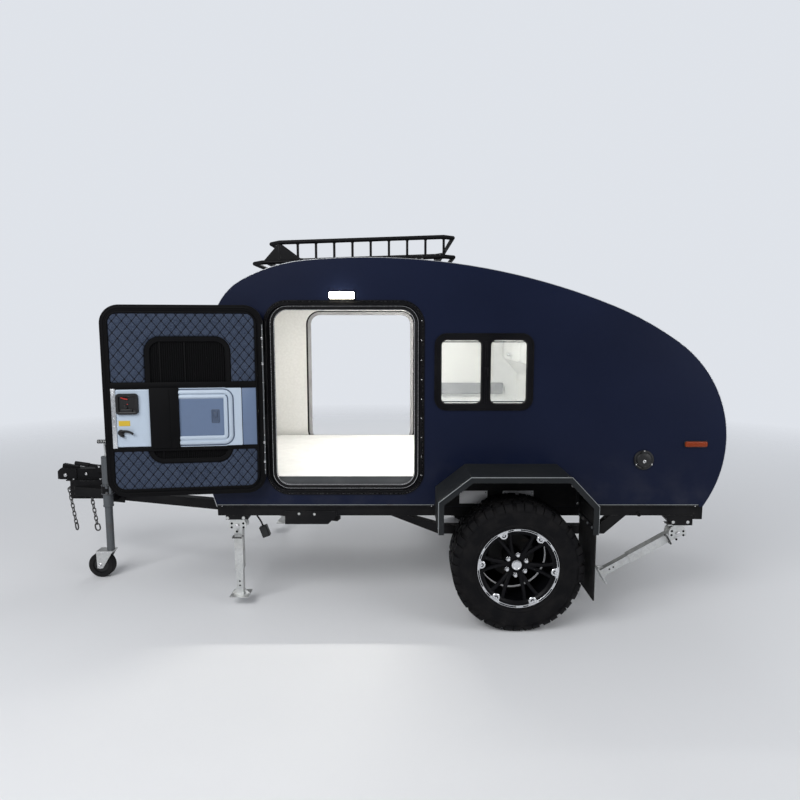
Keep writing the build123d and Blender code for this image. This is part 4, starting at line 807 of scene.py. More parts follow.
def pad_distance(point, limits):
    """Distance to a quilted pad's edge, negative inside."""
    low_u, low_v, high_u, high_v = limits
    centre = ((low_u + high_u) / 2, (low_v + high_v) / 2)
    own = rounded_distance(point, centre, (high_u - low_u, high_v - low_v), 0.018)
    clear = rounded_distance(point, LEAF_MIDDLE, (LEAF_SIZE[0] - 2 * 0.04, LEAF_SIZE[1] - 2 * 0.036),
                             PAD_CORNER)
    window = rounded_distance(point, *CASSETTE) - 0.001
    return max(own, clear, -window)


def quilt_height(point, edge):
    """Height of the quilted cloth over the door, full in a diamond and low on its stitch lines."""
    s = point[0] / QUILT_DIAMOND[0] + point[1] / QUILT_DIAMOND[1]
    t = point[0] / QUILT_DIAMOND[0] - point[1] / QUILT_DIAMOND[1]
    puff = (abs(sin(pi * s)) * abs(sin(pi * t))) ** 0.45
    rise = min(1.0, edge / 0.012)
    return PAD_THICK * (rise * (2 - rise)) * (0.62 + 0.38 * puff)


def quilted_pad(limits, step):
    """Quilted cloth pad cut to its outline, with diamond puffs."""
    form = Form()
    low_u, low_v, high_u, high_v = limits
    columns = round((high_u - low_u) / step) + 3
    rows = round((high_v - low_v) / step) + 3
    grid = {}
    for column in range(columns):
        for line in range(rows):
            grid[column, line] = (low_u - step + column * step, low_v - step + line * step)
    kept = set()
    for column in range(columns - 1):
        for line in range(rows - 1):
            corners = [(column, line), (column + 1, line), (column + 1, line + 1), (column, line + 1)]
            if any(pad_distance(grid[key], limits) < -0.2 * step for key in corners):
                kept.add(tuple(corners))
    verts = {}
    for corners in kept:
        for key in corners:
            if key in verts:
                continue
            point = Vector(grid[key])
            for _ in range(3):
                outside = pad_distance(point, limits)
                if outside <= 0:
                    break
                nudge = 0.0005
                slope = Vector((pad_distance(point + Vector((nudge, 0)), limits) - outside,
                                pad_distance(point + Vector((0, nudge)), limits) - outside)) / nudge
                point = point - slope * outside
            edge = max(0.0, -pad_distance(point, limits))
            verts[key] = form.bm.verts.new((point.x, quilt_height(point, edge) + 0.0006, point.y))
    for corners in sorted(kept):
        form.face([verts[key] for key in reversed(corners)])
    layer = form.bm.loops.layers.uv.new("quilt")
    for face in form.bm.faces:
        for loop in face.loops:
            loop[layer].uv = (loop.vert.co.x, loop.vert.co.z)
    border = [edge for edge in form.bm.edges if edge.is_boundary]
    made = bmesh.ops.extrude_edge_only(form.bm, edges=border)["geom"]
    for vert in made:
        if isinstance(vert, bmesh.types.BMVert):
            vert.co.y = 0.0004
    bmesh.ops.recalc_face_normals(form.bm, faces=form.bm.faces[:])
    return form


def quilted_liner(form):
    """Both quilted pads of a door."""
    for limits in PAD_LIMITS:
        form.join(quilted_pad(limits, 0.0048))


def leaf_frame(form):
    """Black extrusion round a door's inner face: seal bead, ridge and inner trim."""
    form.moulding(LEAF_MIDDLE, LEAF_SIZE, LEAF_CORNER, [
        (0.0006, 0.0), (0.0006, 0.001), (0.003, 0.0018), (0.007, 0.0018), (0.008, 0.0008), (0.011, 0.0008),
        (0.0125, 0.0018), (0.016, 0.0022), (0.0195, 0.0018), (0.021, 0.0006), (0.03, 0.0006),
        (0.0335, 0.009), (0.036, 0.0124), (0.0415, 0.013), (0.044, 0.0112), (0.0455, 0.0)], 10, around=True)


def leaf_skin(form):
    """Painted outer skin of a door with its pressed edge."""
    back, face = 0.0004 - LEAF_THICK, LEAF_FACE
    rings = []
    for inset, y in ((0.02, back), (0.02, -LEAF_THICK - 0.0012), (0.0235, face)):
        size = (LEAF_SIZE[0] - 2 * inset, LEAF_SIZE[1] - 2 * inset)
        rings.append([(x, y, z) for x, z in rounded_outline(LEAF_MIDDLE, size, LEAF_CORNER - inset, 10)])
    hole = rounded_outline(*DOOR_WINDOW, 10)
    rings += [[(x, y, z) for x, z in hole] for y in (face, back)]
    form.skin(rings, caps=False)


def window_clamp(form):
    """Black clamp frame of the door window on the outer skin."""
    centre, size, corner = DOOR_WINDOW
    grown = (size[0] + 0.064, size[1] + 0.064)
    out = LEAF_FACE
    form.moulding(centre, grown, corner + 0.032, [
        (0.0, out), (0.0, out - 0.003), (0.004, out - 0.0075), (0.012, out - 0.0085), (0.026, out - 0.0085),
        (0.034, out - 0.006), (0.04, out - 0.006), (0.044, out + 0.004), (0.046, -0.012)], 10)
    form.material = 1
    form.moulding(centre, grown, corner + 0.032, [(0.045, -0.0155), (0.045, -0.0125)], 10, caps=True)


def window_cassette(form):
    """Black screen cassette round the door window on the inner face."""
    centre, size, corner = CASSETTE
    form.moulding(centre, size, corner, [
        (0.0, 0.0), (0.0, 0.0045), (0.003, 0.0078), (0.012, 0.008), (0.015, 0.007), (0.024, 0.007),
        (0.0265, 0.005), (0.0265, -0.004)], 10)
    rail = 0.022
    for low_v, high_v in ((BAND[1] - 0.008, BAND[1] + 0.026), (BAND[0] - 0.014, BAND[0] + 0.008)):
        form.block((0.0425, 0.0004, low_v), (0.8075, 0.0135, high_v), 0.003)
    for u in (centre[0] + 0.012, centre[0] + 0.142):
        form.block((u, 0.0002, centre[1] - size[1] / 2 + rail),
                   (u + 0.008, 0.002, centre[1] + size[1] / 2 - rail), 0.001)


def screen_cloth(form):
    """Pleated black screen behind the cassette."""
    centre, size, corner = CASSETTE
    half_u, half_v = size[0] / 2 - SCREEN_EDGE, size[1] / 2 - SCREEN_EDGE
    low_u, high_u = centre[0] - half_u, centre[0] + half_u
    low_v, high_v = centre[1] - half_v, centre[1] + half_v
    pleats = 36
    rings = []
    for index in range(2 * pleats + 1):
        u = low_u + (high_u - low_u) * index / (2 * pleats)
        y = 0.0005 if index % 2 else -0.0045
        drop = max(0.0, corner - (u - low_u), corner - (high_u - u))
        rise = corner - sqrt(max(0.0, corner ** 2 - drop ** 2))
        rings.append([(u, y, low_v + rise), (u, y, high_v - rise)])
    form.skin(rings, closed=False, caps=False)


def lock_panel(form):
    """White moulded panel that carries the lock, with its rolled edge."""
    low_u, high_u = 0.6075, 0.783
    centre = ((low_u + high_u) / 2, (BAND[0] + BAND[1]) / 2)
    size = (high_u - low_u, BAND[1] - BAND[0] - 0.024)
    form.moulding(centre, size, 0.006, [
        (0.0, 0.0), (0.0, 0.0085), (0.0022, 0.011), (0.006, 0.012), (0.011, 0.011), (0.014, 0.0104)], 5,
        caps=True)


def lock_case(form):
    """Black lock box, its recess and the moulded pull."""
    form.moulding((0.724, 0.516), (0.116, 0.114), 0.018, [
        (0.0, 0.01), (0.0, 0.02), (0.003, 0.0245), (0.012, 0.025), (0.015, 0.0235), (0.018, 0.015),
        (0.024, 0.0135)], 6, caps=True)
    form.block((0.696, 0.0135, 0.471), (0.758, LOCK_FACE, 0.489), 0.003)
    form.lathe([(0.011, 0.013), (0.011, 0.021), (0.009, LOCK_FACE), (0.003, LOCK_FACE)],
               (0.734, 0, 0.499), "Y", 20)
    form.lathe([(0.017, 0.01), (0.017, 0.016), (0.014, 0.019)], (0.762, 0, 0.36), "Y", 24)
    lever = [(0.764, 0.019, 0.364), (0.748, 0.0215, 0.369), (0.726, LOCK_FACE, 0.368),
             (0.708, LOCK_FACE, 0.361), (0.698, 0.0215, 0.353)]
    form.tube(lever, 0.0105, flat=0.45)
    form.tube([(0.762, 0.019, 0.358), (0.758, 0.0205, 0.345), (0.745, 0.0205, 0.34)], 0.0085, flat=0.5)


def red_lever(form):
    """Small red release in the lock box."""
    form.tube([(0.754, 0.017, 0.551), (0.736, 0.02, 0.545), (0.719, 0.0205, 0.542)], 0.0042, 8, flat=0.6)
    form.lathe([(0.0025, LOCK_FACE), (0.0025, 0.0232), (0.0012, 0.0236)], (0.72, 0, 0.516), "Y", 12)


def blank_tag(form):
    """Plain yellow tag below the lock box."""
    form.block((0.714, 0.01, 0.396), (0.78, 0.0112, 0.425), 0.0004, 1)


def strike_strip(form):
    """Bright edge strip on the free edge of a door, with its screws."""
    form.block((0.784, 0.0004, BAND[0] - 0.004), (0.807, 0.0128, BAND[1] + 0.004), 0.0012)
    for v in (0.3, 0.395, 0.437, 0.574):
        form.screw((0.7955, 0.0128, v), (0, 1, 0), 0.0042)


def locker_moulding(form):
    """White stepped moulding of the locker in the middle of a door, with two rounded ridges."""
    low_u, high_u = LOCKER_SPAN
    centre = ((low_u + high_u) / 2, LOCKER_V)
    size = (high_u - low_u, LOCKER_HEIGHT)
    form.moulding(centre, size, 0.006, [(0.0, 0.008), (0.0, 0.012), (0.0016, 0.0135), (0.04, 0.0137)], 6)
    ridges = (size[0] - 2 * LOCKER_SHIFT, size[1])
    middle = (centre[0] + LOCKER_SHIFT, centre[1])
    form.moulding(middle, ridges, 0.06, [
        (-0.003, 0.0125), (0.008, 0.0132), (0.011, 0.018), (0.016, 0.0212), (0.027, 0.0212), (0.03, 0.018),
        (0.0315, 0.012), (0.036, 0.012), (0.0375, 0.017), (0.042, 0.0196), (0.05, 0.0196), (0.055, 0.016),
        (0.058, 0.012)], 8)
    # Slate rings laid in the groove between the ridges and on the outer foot darken these recesses: painted
    # shade
    form.material = 1
    for outer, inner, y in ((0.03, 0.0372, 0.013), (0.002, 0.009, 0.0139)):
        form.moulding(middle, ridges, 0.06, [(outer, y), (inner, y)], 8)


def locker_lid(form):
    """Grey-blue flat lid inside the stepped moulding, and the flat strip beside the hinge."""
    low_u, high_u = LOCKER_SPAN
    centre = ((low_u + high_u) / 2 + LOCKER_SHIFT, LOCKER_V)
    size = (high_u - low_u - 2 * LOCKER_SHIFT - LOCKER_STEPS, LOCKER_HEIGHT - LOCKER_STEPS)
    form.moulding(centre, size, 0.01, [
        (0.0, 0.01), (0.0, 0.0128), (0.0015, 0.0136), (0.01, 0.0136)], 5, caps=True)
    form.block((0.043, 0.0004, BAND[0] + 0.01), (0.12, 0.01, BAND[1] - 0.01), 0.002)


def locker_latch(form):
    """Finger latch sunk in the locker lid."""
    form.moulding((0.264, 0.442), (0.044, 0.076), 0.006, [
        (0.0, 0.013), (0.0, 0.015), (0.0018, 0.016), (0.005, 0.016), (0.007, 0.013), (0.0075, 0.0137)], 5,
        caps=True)
    form.block((0.253, 0.0136, 0.435), (0.275, 0.0156, 0.464), 0.002)


def slide_cover(form):
    """Black sliding cover between the lock panel and the locker."""
    form.block((LOCKER_EDGE, 0.008, BAND[0] + 0.004), (0.608, LOCK_FACE, BAND[1] - 0.003), 0.002)
    form.block((0.503, LOCK_FACE, BAND[0] + 0.012), (0.5065, 0.024, BAND[1] - 0.014), 0.0005, 1)


def hinge_strip(form):
    """Hinge line along a door's hinge edge, with its screws and stays."""
    form.block((0.0004, 0.0004, 0.105), (0.0068, 0.0024, 0.943), 0.0006)
    form.material = 1
    for index in range(9):
        form.screw((0.0036, 0.0023, 0.13 + index * 0.0985), (0, 1, 0), 0.0024)
    for v in (0.17, 0.28, 0.72, 0.86):
        form.block((0.0002, 0.0004, v), (0.01, 0.0032, v + 0.014), 0.001)


def outer_latch(form):
    """Paddle latch on the outer skin of a door."""
    out = LEAF_FACE
    form.moulding((0.77, 0.437), (0.07, 0.13), 0.014, [
        (0.0, out), (0.0, out - 0.004), (0.003, out - 0.007), (0.01, out - 0.007), (0.014, out - 0.002)], 6,
        caps=True)
    form.block((0.745, out - 0.009, 0.4), (0.795, out - 0.002, 0.452), 0.003)
    form.lathe([(0.009, out - 0.002), (0.009, out - 0.009), (0.007, out - 0.01)], (0.77, 0, 0.48), "Y", 20)


class TRAILER_OT_doors(bpy.types.Operator):
    """Dress both open doors: quilted liners, cassette, lock panel, locker and outer skin"""
    bl_idname = "trailer.doors"
    bl_label = "Doors"

    def execute(self, context):
        liners = door_pieces(quilted_liner, "quilt_cloth", "quilt", 60.0)
        for liner, side in zip(liners, SIDES):
            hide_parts("door_liner_" + side)
        for rim, side in zip(door_pieces(window_cassette, "deep_black", "black_frame"), SIDES):
            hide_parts("door_window_" + side)
        # Lock panels, locker mouldings and the cabin lamp's housing carry the white plastic with its painted
        # blue-grey shade
        for panel, side in zip(door_pieces(lock_panel, "white_moulding", "white_plastic"), SIDES):
            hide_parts("door_band_" + side)
        door_pieces(window_clamp, ["frame_coat", "tinted_pane"], "black_frame")
        door_pieces(screen_cloth, "screen_mesh", "rubber", 5.0)
        door_pieces(leaf_frame, "deep_black", "black_frame")
        door_pieces(leaf_skin, "door_paint", "navy_panel")
        door_pieces(lock_case, "black_moulding", "black_plastic")
        door_pieces(red_lever, "red_moulding", "black_plastic")
        door_pieces(blank_tag, "yellow_tag", "white_plastic")
        door_pieces(strike_strip, "trim_strip", "trim_metal")
        door_pieces(locker_moulding, ["white_moulding", "slate_moulding"], "white_plastic")
        door_pieces(locker_lid, "grey_moulding", "white_plastic")
        door_pieces(locker_latch, "slate_moulding", "white_plastic")
        door_pieces(slide_cover, "deep_black", "black_plastic")
        # Hinge lines in steel darkened for painted shade
        door_pieces(hinge_strip, ["shade_steel", "bright_bolt"], "trim_metal")
        door_pieces(outer_latch, "black_moulding", "black_plastic")
        return {"FINISHED"}


# Wheels

WHEEL_PLACE = Vector(JOINTS["wheel_left_spin"]["pos_m"])
SHOULDER_PITCHES = 20
CENTRE_BLOCKS = 40
TREAD_DEPTH = 0.0095
SPOKE_PAIRS = 6
SPOKE_TURN = radians(-6.0)
SPOKE_LEAN = radians(11.0)
BOSS_CIRCLE = 0.1985
NUT_CIRCLE = 0.057
FAR_TYRE_PHASE = radians(9.0)


def tread_lug(form, angle, width, stations, skew=0.0):
    """Lug over (place across, outer radius, foot radius) stations, turned evenly along its length."""
    first, last = stations[0][0], stations[-1][0]
    rings = []
    for y, top, foot in stations:
        turn = angle + skew * ((y - first) / (last - first) - 0.5)
        spread = width / 2 / TYRE_RADIUS
        rings.append([polar(foot, turn - 1.1 * spread, y), polar(top, turn - spread, y),
                      polar(top, turn + spread, y), polar(foot, turn + 1.1 * spread, y)])
    form.skin(rings)


def tyre(form, phase):
    """Off-road tyre: carcass with its bead, sidewall rings and ribs, and separate tread lugs."""
    foot = TYRE_RADIUS - TREAD_DEPTH
    half = [(0.2045, -0.103), (0.219, -0.106), (0.2225, -0.115), (0.2262, -0.1208), (0.233, -0.124),
            (0.2365, -0.1275), (0.2415, -0.1278), (0.244, -0.1262), (0.26, -0.1318), (0.284, -0.1346),
            (0.299, -0.1342), (0.301, -0.133), (0.3055, -0.1328), (0.32, -0.1305), (0.329, -0.1255),
            (foot - 0.004, -0.111), (foot, -0.098)]
    form.lathe(half + [(r, -y) for r, y in reversed(half)], ORIGIN, "Y", 96, around=True)
    shoulder = [(0.1338, 0.3265, 0.318), (0.1295, 0.335, 0.324), (0.118, 0.3475, 0.333),
                (0.1095, 0.3542, 0.342), (0.084, 0.3549, 0.3445)]
    pitch = tau / SHOULDER_PITCHES
    for side in (-1, 1):
        stations = [(side * y, top, low) for y, top, low in shoulder]
        for index in range(SHOULDER_PITCHES):
            gap = pitch / 4 * -side + phase + index * pitch
            tread_lug(form, gap + pitch * 0.295, 0.042, stations, 0.012 * side)
            tread_lug(form, gap + pitch * 0.715, 0.0395, stations, 0.012 * side)
        for index in range(4 * SHOULDER_PITCHES):
            angle = index * pitch / 4
            form.tube([polar(0.286, angle, side * 0.134), polar(0.2975, angle, side * 0.134)], 0.0016, 5)
    for line, y in enumerate((-0.0535, 0.0, 0.0535)):
        for index in range(CENTRE_BLOCKS):
            angle = (index + 0.5 * (line % 2)) * tau / CENTRE_BLOCKS
            stations = [(y - 0.0225, 0.3538, foot - 0.001), (y - 0.0205, 0.3548, foot - 0.001),
                        (y + 0.0205, 0.3548, foot - 0.001), (y + 0.0225, 0.3538, foot - 0.001)]
            tread_lug(form, angle, 0.042, stations, 0.045 if line % 2 else -0.045)


def rim_spoke(form, angle, lean):
    """One arm of a twin spoke, dished from the hub to the ring and tapered."""
    stations = [(0.048, 0.0125, -0.0575, 0.025), (0.085, 0.0105, -0.07, 0.024),
                (0.13, 0.0092, -0.0865, 0.022), (0.17, 0.009, -0.0985, 0.02), (0.19, 0.0115, -0.1035, 0.017)]
    rings = []
    for radius, width, front, depth in stations:
        turn = angle + lean * (0.35 + 0.65 * (radius - 0.048) / 0.142)
        middle = polar(radius, turn, 0.0)
        across = Vector((-sin(turn), 0.0, cos(turn))) * width
        rings.append([middle + across * share + Vector((0, front + drop, 0)) for share, drop in (
            (-1.0, depth), (-1.0, 0.0045), (-0.55, 0.0), (0.55, 0.0), (1.0, 0.0045), (1.0, depth))])
    form.skin(rings)


def rim(form):
    """Black alloy rim: barrel, flanges, twin spokes and hub face."""
    form.lathe([(0.1975, -0.11), (0.2195, -0.111), (0.2195, -0.1085), (0.204, -0.1035), (0.203, -0.07),
                (0.196, -0.06), (0.196, 0.08), (0.203, 0.09), (0.203, 0.1045), (0.2195, 0.1095),
                (0.2202, 0.1155), (0.214, 0.1158), (0.1985, 0.106), (0.19, 0.08), (0.188, -0.05),
                (0.19, -0.078), (0.185, -0.093), (0.186, -0.101), (0.191, -0.1045)],
               ORIGIN, "Y", 96, around=True)
    for index in range(SPOKE_PAIRS):
        angle = SPOKE_TURN + index * tau / SPOKE_PAIRS
        for lean in (-SPOKE_LEAN, SPOKE_LEAN):
            rim_spoke(form, angle, lean)
    form.lathe([(0.064, -0.033), (0.064, -0.055), (0.06, -0.061), (0.04, -0.0615), (0.037, -0.057),
                (0.033, -0.057), (0.031, -0.06), (0.03, -0.06), (0.03, -0.033)], ORIGIN, "Y", 60, around=True)


def machined_ring(form):
    """Bright machined ring of the rim with its broken groove, bosses, nuts and plain centre cap."""
    form.lathe([(0.2068, -0.1105), (0.2203, -0.1105), (0.2205, -0.1158), (0.219, -0.1178), (0.2168, -0.118),
                (0.2158, -0.115), (0.2112, -0.115), (0.2102, -0.118), (0.208, -0.118), (0.2068, -0.1165)],
               ORIGIN, "Y", 120, around=True)
    for index in range(2 * SPOKE_PAIRS):
        middle = SPOKE_TURN + (index + (0.3 if index % 2 else 0.0)) * tau / (2 * SPOKE_PAIRS)
        reach = radians(5.0 if index % 2 else 8.0)
        rings = []
        for step in range(7):
            angle = middle + reach * (step / 3.0 - 1.0)
            rings.append([polar(0.2106, angle, -0.1152), polar(0.2106, angle, -0.1177),
                          polar(0.2164, angle, -0.1177), polar(0.2164, angle, -0.1152)])
        form.skin(rings)
    for index in range(SPOKE_PAIRS):
        angle = SPOKE_TURN + index * tau / SPOKE_PAIRS
        centre = polar(BOSS_CIRCLE, angle, 0.0)
        form.lathe([(0.0215, -0.104), (0.0215, -0.115), (0.0195, -0.1168), (0.012, -0.1172), (0.0108, -0.115),
                    (0.002, -0.115)], centre, "Y", 28)
        web = polar(BOSS_CIRCLE + 0.012, angle, 0.0)
        across = Vector((-sin(angle), 0.0, cos(angle)))
        inward = polar(0.012, angle, 0.0)
        outline = [web + across * 0.034, web + across * 0.017 - inward, web - across * 0.017 - inward,
                   web - across * 0.034]
        form.skin([[point + Vector((0, y, 0)) for point in outline] for y in (-0.106, -0.116)])
        nut = polar(NUT_CIRCLE, angle + pi / 6, -0.06)
        form.lathe([(0.0115, -0.06), (0.0115, -0.063), (0.01, -0.064)], nut - Vector((0, nut.y, 0)), "Y", 20)
        form.bolt(nut - Vector((0, 0.0025, 0)), OUT, 0.019, 0.013, 1.15)
    form.lathe([(0.0285, -0.057), (0.0285, -0.066), (0.0265, -0.069), (0.02, -0.0705), (0.019, -0.0698),
                (0.008, -0.0704)], ORIGIN, "Y", 40)
    form.material = 1
    form.lathe([(0.211, -0.114), (0.216, -0.114), (0.216, -0.1156), (0.211, -0.1156)], ORIGIN,
               "Y", 96, around=True)
    for index in range(SPOKE_PAIRS):
        angle = SPOKE_TURN + index * tau / SPOKE_PAIRS
        form.lathe([(0.0106, -0.1148), (0.0106, -0.1158)], polar(BOSS_CIRCLE, angle, 0.0), "Y", 24)
        form.material = 0
        form.bolt(polar(BOSS_CIRCLE, angle, -0.1157), OUT, 0.0105, 0.0058, 1.15)
        form.material = 1
    form.tube([polar(0.1905, 2.1, -0.098), polar(0.178, 2.1, -0.108)], 0.004)


class TRAILER_OT_wheels(bpy.types.Operator):
    """Off-road tyres and black rims with a machined ring"""
    bl_idname = "trailer.wheels"
    bl_label = "Wheels"

    def execute(self, context):
        move = Matrix.Translation(WHEEL_PLACE)
        for side, sign in SIDES.items():
            turn = MIRROR @ move if sign > 0 else move
            phase = FAR_TYRE_PHASE if sign > 0 else 0.0
            for name, draw, finish, slot, node in (
                    ("tyre", lambda form: tyre(form, phase), "tyre_rubber", "tyre_rubber", "tyre_"),
                    ("rim", rim, "black_alloy", "rim_paint", "rim_"),
                    ("machined_ring", machined_ring, ["machined_alloy", "black_alloy"], "trim_metal", None)):
                obj = drawn(draw).move(turn).place(name + "_dressed_" + side, finish,
                                                   "wheel_" + side, slot, 32.0)
                if node:
                    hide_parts(node + side)
        return {"FINISHED"}


# Mattress

MATTRESS_LOW, MATTRESS_HIGH = [Vector(corner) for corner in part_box("mattress")]
MATTRESS_TILE = 0.128
MATTRESS_CORNER = 0.06
MATTRESS_ROLL = 0.024
MATTRESS_STEP = 0.0125


def mattress_surface(x, y, centre, half, corner):
    """Inset of a point from the mattress edge."""
    return -rounded_distance((x, y), centre, (2 * half[0], 2 * half[1]), corner)


def mattress_top(form):
    """Quilted white top of the mattress with its rolled edge."""
    low, high = MATTRESS_LOW, MATTRESS_HIGH
    centre = ((low.x + high.x) / 2, (low.y + high.y) / 2)
    half = ((high.x - low.x) / 2 - 0.002, (high.y - low.y) / 2 - 0.002)
    profile = [(0.0, -0.01), (0.0, -0.0095), (0.002, -0.008), (0.007, -0.006), (0.014, -0.0042),
               (MATTRESS_ROLL, -0.003)]

    def outline(inset, z):
        """Edge of the mattress drawn in by an inset, at a height."""
        size = (2 * (half[0] - inset), 2 * (half[1] - inset))
        return [(x, y, z) for x, y in rounded_outline(centre, size, MATTRESS_CORNER - inset, 10)]

    form.skin([outline(inset, high.z + drop) for inset, drop in profile], caps=False)
    inner = (half[0] - MATTRESS_ROLL, half[1] - MATTRESS_ROLL)
    columns, lines = round(2 * inner[0] / MATTRESS_STEP), round(2 * inner[1] / MATTRESS_STEP)
    radius = MATTRESS_CORNER - MATTRESS_ROLL
    rows = []
    for column in range(columns + 1):
        across = []
        for line in range(lines + 1):
            u = 2 * column / columns - 1
            v = 2 * line / lines - 1
            x, y = centre[0] + u * inner[0], centre[1] + v * inner[1]
            dx, dy = abs(x - centre[0]) - inner[0] + radius, abs(y - centre[1]) - inner[1] + radius
            if dx > 0 and dy > 0 and hypot(dx, dy) > radius:
                share = radius / hypot(dx, dy)
                x = centre[0] + copysign(inner[0] - radius + dx * share, x - centre[0])
                y = centre[1] + copysign(inner[1] - radius + dy * share, y - centre[1])
            s, t = (x + y) / MATTRESS_TILE, (x - y) / MATTRESS_TILE
            puff = (abs(sin(pi * s)) * abs(sin(pi * t))) ** 0.35
            soft = 0.0022 * sin(5.1 * x + 1.3) * cos(6.3 * y - 0.7)
            edge = min(1.0, mattress_surface(x, y, centre, half, MATTRESS_CORNER) / 0.06 - 0.38)
            across.append((x, y, high.z - 0.003 + max(0.0, edge) * (0.006 * puff + soft - 0.0025)))
        rows.append(across)
    form.skin(rows, closed=False, caps=False)
    form.material = 1
    rings = [outline(inset, z) for inset, z in ((0.0015, high.z - 0.011), (0.0, high.z - 0.022),
                                                (0.0, low.z + 0.018), (0.004, low.z + 0.004), (0.014, low.z))]
    form.skin(rings, caps=False)
    bottom = [form.bm.verts.new(point) for point in rings[-1]]
    form.face(list(reversed(bottom)))
    piping = rounded_outline(centre, (2 * half[0] + 0.002, 2 * half[1] + 0.002), MATTRESS_CORNER, 10)
    for z in (high.z - 0.01, low.z + 0.016):
        form.tube([(x, y, z) for x, y in piping], 0.0042, 8, closed=True)


class TRAILER_OT_mattress(bpy.types.Operator):
    """White quilted mattress with a charcoal border and piping"""
    bl_idname = "trailer.mattress"
    bl_label = "Mattress"

    def execute(self, context):
        obj = drawn(mattress_top).place("quilted_mattress", ["woven_cover", "border_cloth"], "trailer",
                                        "mattress_cover", 50.0)
        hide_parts("mattress")
        return {"FINISHED"}


# Cords

LEAD_ROUTE = [(-1500.0, 584.0), (-1500.0, 549.0), (-1488.0, 514.0), (-1466.0, 485.0), (-1454.0, 452.0)]
LEAD_Y = -630.0
LEAD_DIAMETER = 0.01


class TRAILER_OT_cords(bpy.types.Operator):
    """Plug lead that hangs below the cabin floor"""
    bl_idname = "trailer.cords"
    bl_label = "Plug lead"

    def execute(self, context):
        curve = bpy.data.curves.new("plug_cord", "CURVE")
        curve.dimensions = "3D"
        curve.bevel_depth = LEAD_DIAMETER / 2
        curve.bevel_resolution = 4
        curve.use_fill_caps = True
        line = curve.splines.new("NURBS")
        points = [row(x, LEAD_Y, z) for x, z in LEAD_ROUTE]
        line.points.add(len(points) - 1)
        for point, place in zip(line.points, points):
            point.co = (*place, 1.0)
        line.order_u = 3
        line.use_endpoint_u = True
        obj = bpy.data.objects.new("plug_cord", curve)
        context.scene.collection.objects.link(obj)
        curve.materials.append(FINISHES["soft_rubber"])
        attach(obj, "trailer")
        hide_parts("plug_lead")
        return {"FINISHED"}


# Body fittings

WINDOW = (-0.16, 1.386)
WINDOW_SIZE = (0.558, 0.435)
PANES = (((-0.288, 1.386), (0.23, 0.364)), ((-0.021, 1.386), (0.208, 0.364)))
DOORWAY = ((-0.946, 1.233), (0.79, 1.0), 0.075)
INLET = Vector((0.762, 0.0, 0.882))
MARKER = Vector((1.056, 0.0, 0.974))
PORCH_LAMP = Vector((-0.955, 0.0, 1.812))
GUARD_BOLT_PITCH = 0.13
PANE_CORNER = 0.034
# Places across the near wall: front of its frames and flanges, cabin side of its window panes,
# just inside the wall, and the step of the door frame that carries the seal
FRAME_FACE = -0.756
PANE_FACE = -0.7448
CABIN_FACE = -0.7195
SEAL_SEAT = -0.7316


def ring(form, centre, size, radius, grow, profile, steps=10):
    """Closed moulding round an opening made larger by a margin."""
    form.moulding(centre, (size[0] + 2 * grow, size[1] + 2 * grow), radius + grow, profile,
                  steps, around=True)


def window_trim(form):
    """Raised lip, rubber gaskets, sash rails and latch of a side window."""
    form.material = 1
    for centre, size in PANES:
        ring(form, centre, size, PANE_CORNER, 0.003, [
            (0.0, -0.7568), (0.0, -0.759), (0.0015, -0.76), (0.0045, -0.759), (0.0065, -0.753),
            (0.0065, -0.75), (0.0035, -0.75)])
        ring(form, centre, size, PANE_CORNER, 0.0, [
            (0.0, PANE_FACE), (0.0, -0.7425), (0.0045, -0.7415), (0.005, PANE_FACE)])
    form.material = 0
    ring(form, WINDOW, WINDOW_SIZE, 0.068, -0.002, [
        (0.0, -0.7565), (0.0008, -0.759), (0.004, -0.7598), (0.0075, -0.759), (0.0085, -0.7565)])
    form.block((-0.154, -0.76, 1.212), (-0.144, FRAME_FACE, 1.56), 0.0015)
    form.block((-0.162, -0.7625, 1.358), (-0.136, FRAME_FACE, 1.414), 0.003)
    form.block((-0.156, -0.7655, 1.366), (-0.142, -0.761, 1.406), 0.002)
    for z in (1.217, 1.555):
        form.block((-0.395, PANE_FACE, z - 0.003), (0.075, -0.7395, z + 0.003), 0.001)


def window_blind_box(form):
    """Blind cassette and inner frame on the cabin side of a window."""
    ring(form, WINDOW, (0.526, 0.403), 0.052, 0.0, [
        (-0.012, CABIN_FACE), (-0.012, -0.714), (-0.004, -0.711), (0.018, -0.711), (0.021, CABIN_FACE),
        (0.021, -0.726), (0.01, -0.726)])
    form.block((-0.425, CABIN_FACE, 1.583), (0.105, -0.685, 1.628), 0.008, 3)
    form.block((-0.425, CABIN_FACE, 1.15), (0.105, -0.699, 1.178), 0.006, 3)


def closed_blind(form):
    """White blind drawn over the far window, with its grey foot rail."""
    form.block((-0.415, 0.712, 1.18), (0.095, 0.7145, 1.59), 0.0005, 1)
    form.material = 1
    form.block((-0.44, 0.69, 1.108), (0.19, 0.7195, 1.196), 0.006, 3)


def doorway_lining(form):
    """Grey cover strip round a doorway on the cabin side."""
    ring(form, *DOORWAY, 0.0, [
        (-0.024, -0.7199), (-0.024, -0.718), (-0.02, -0.716), (-0.001, -0.716), (0.0012, -0.7199)])


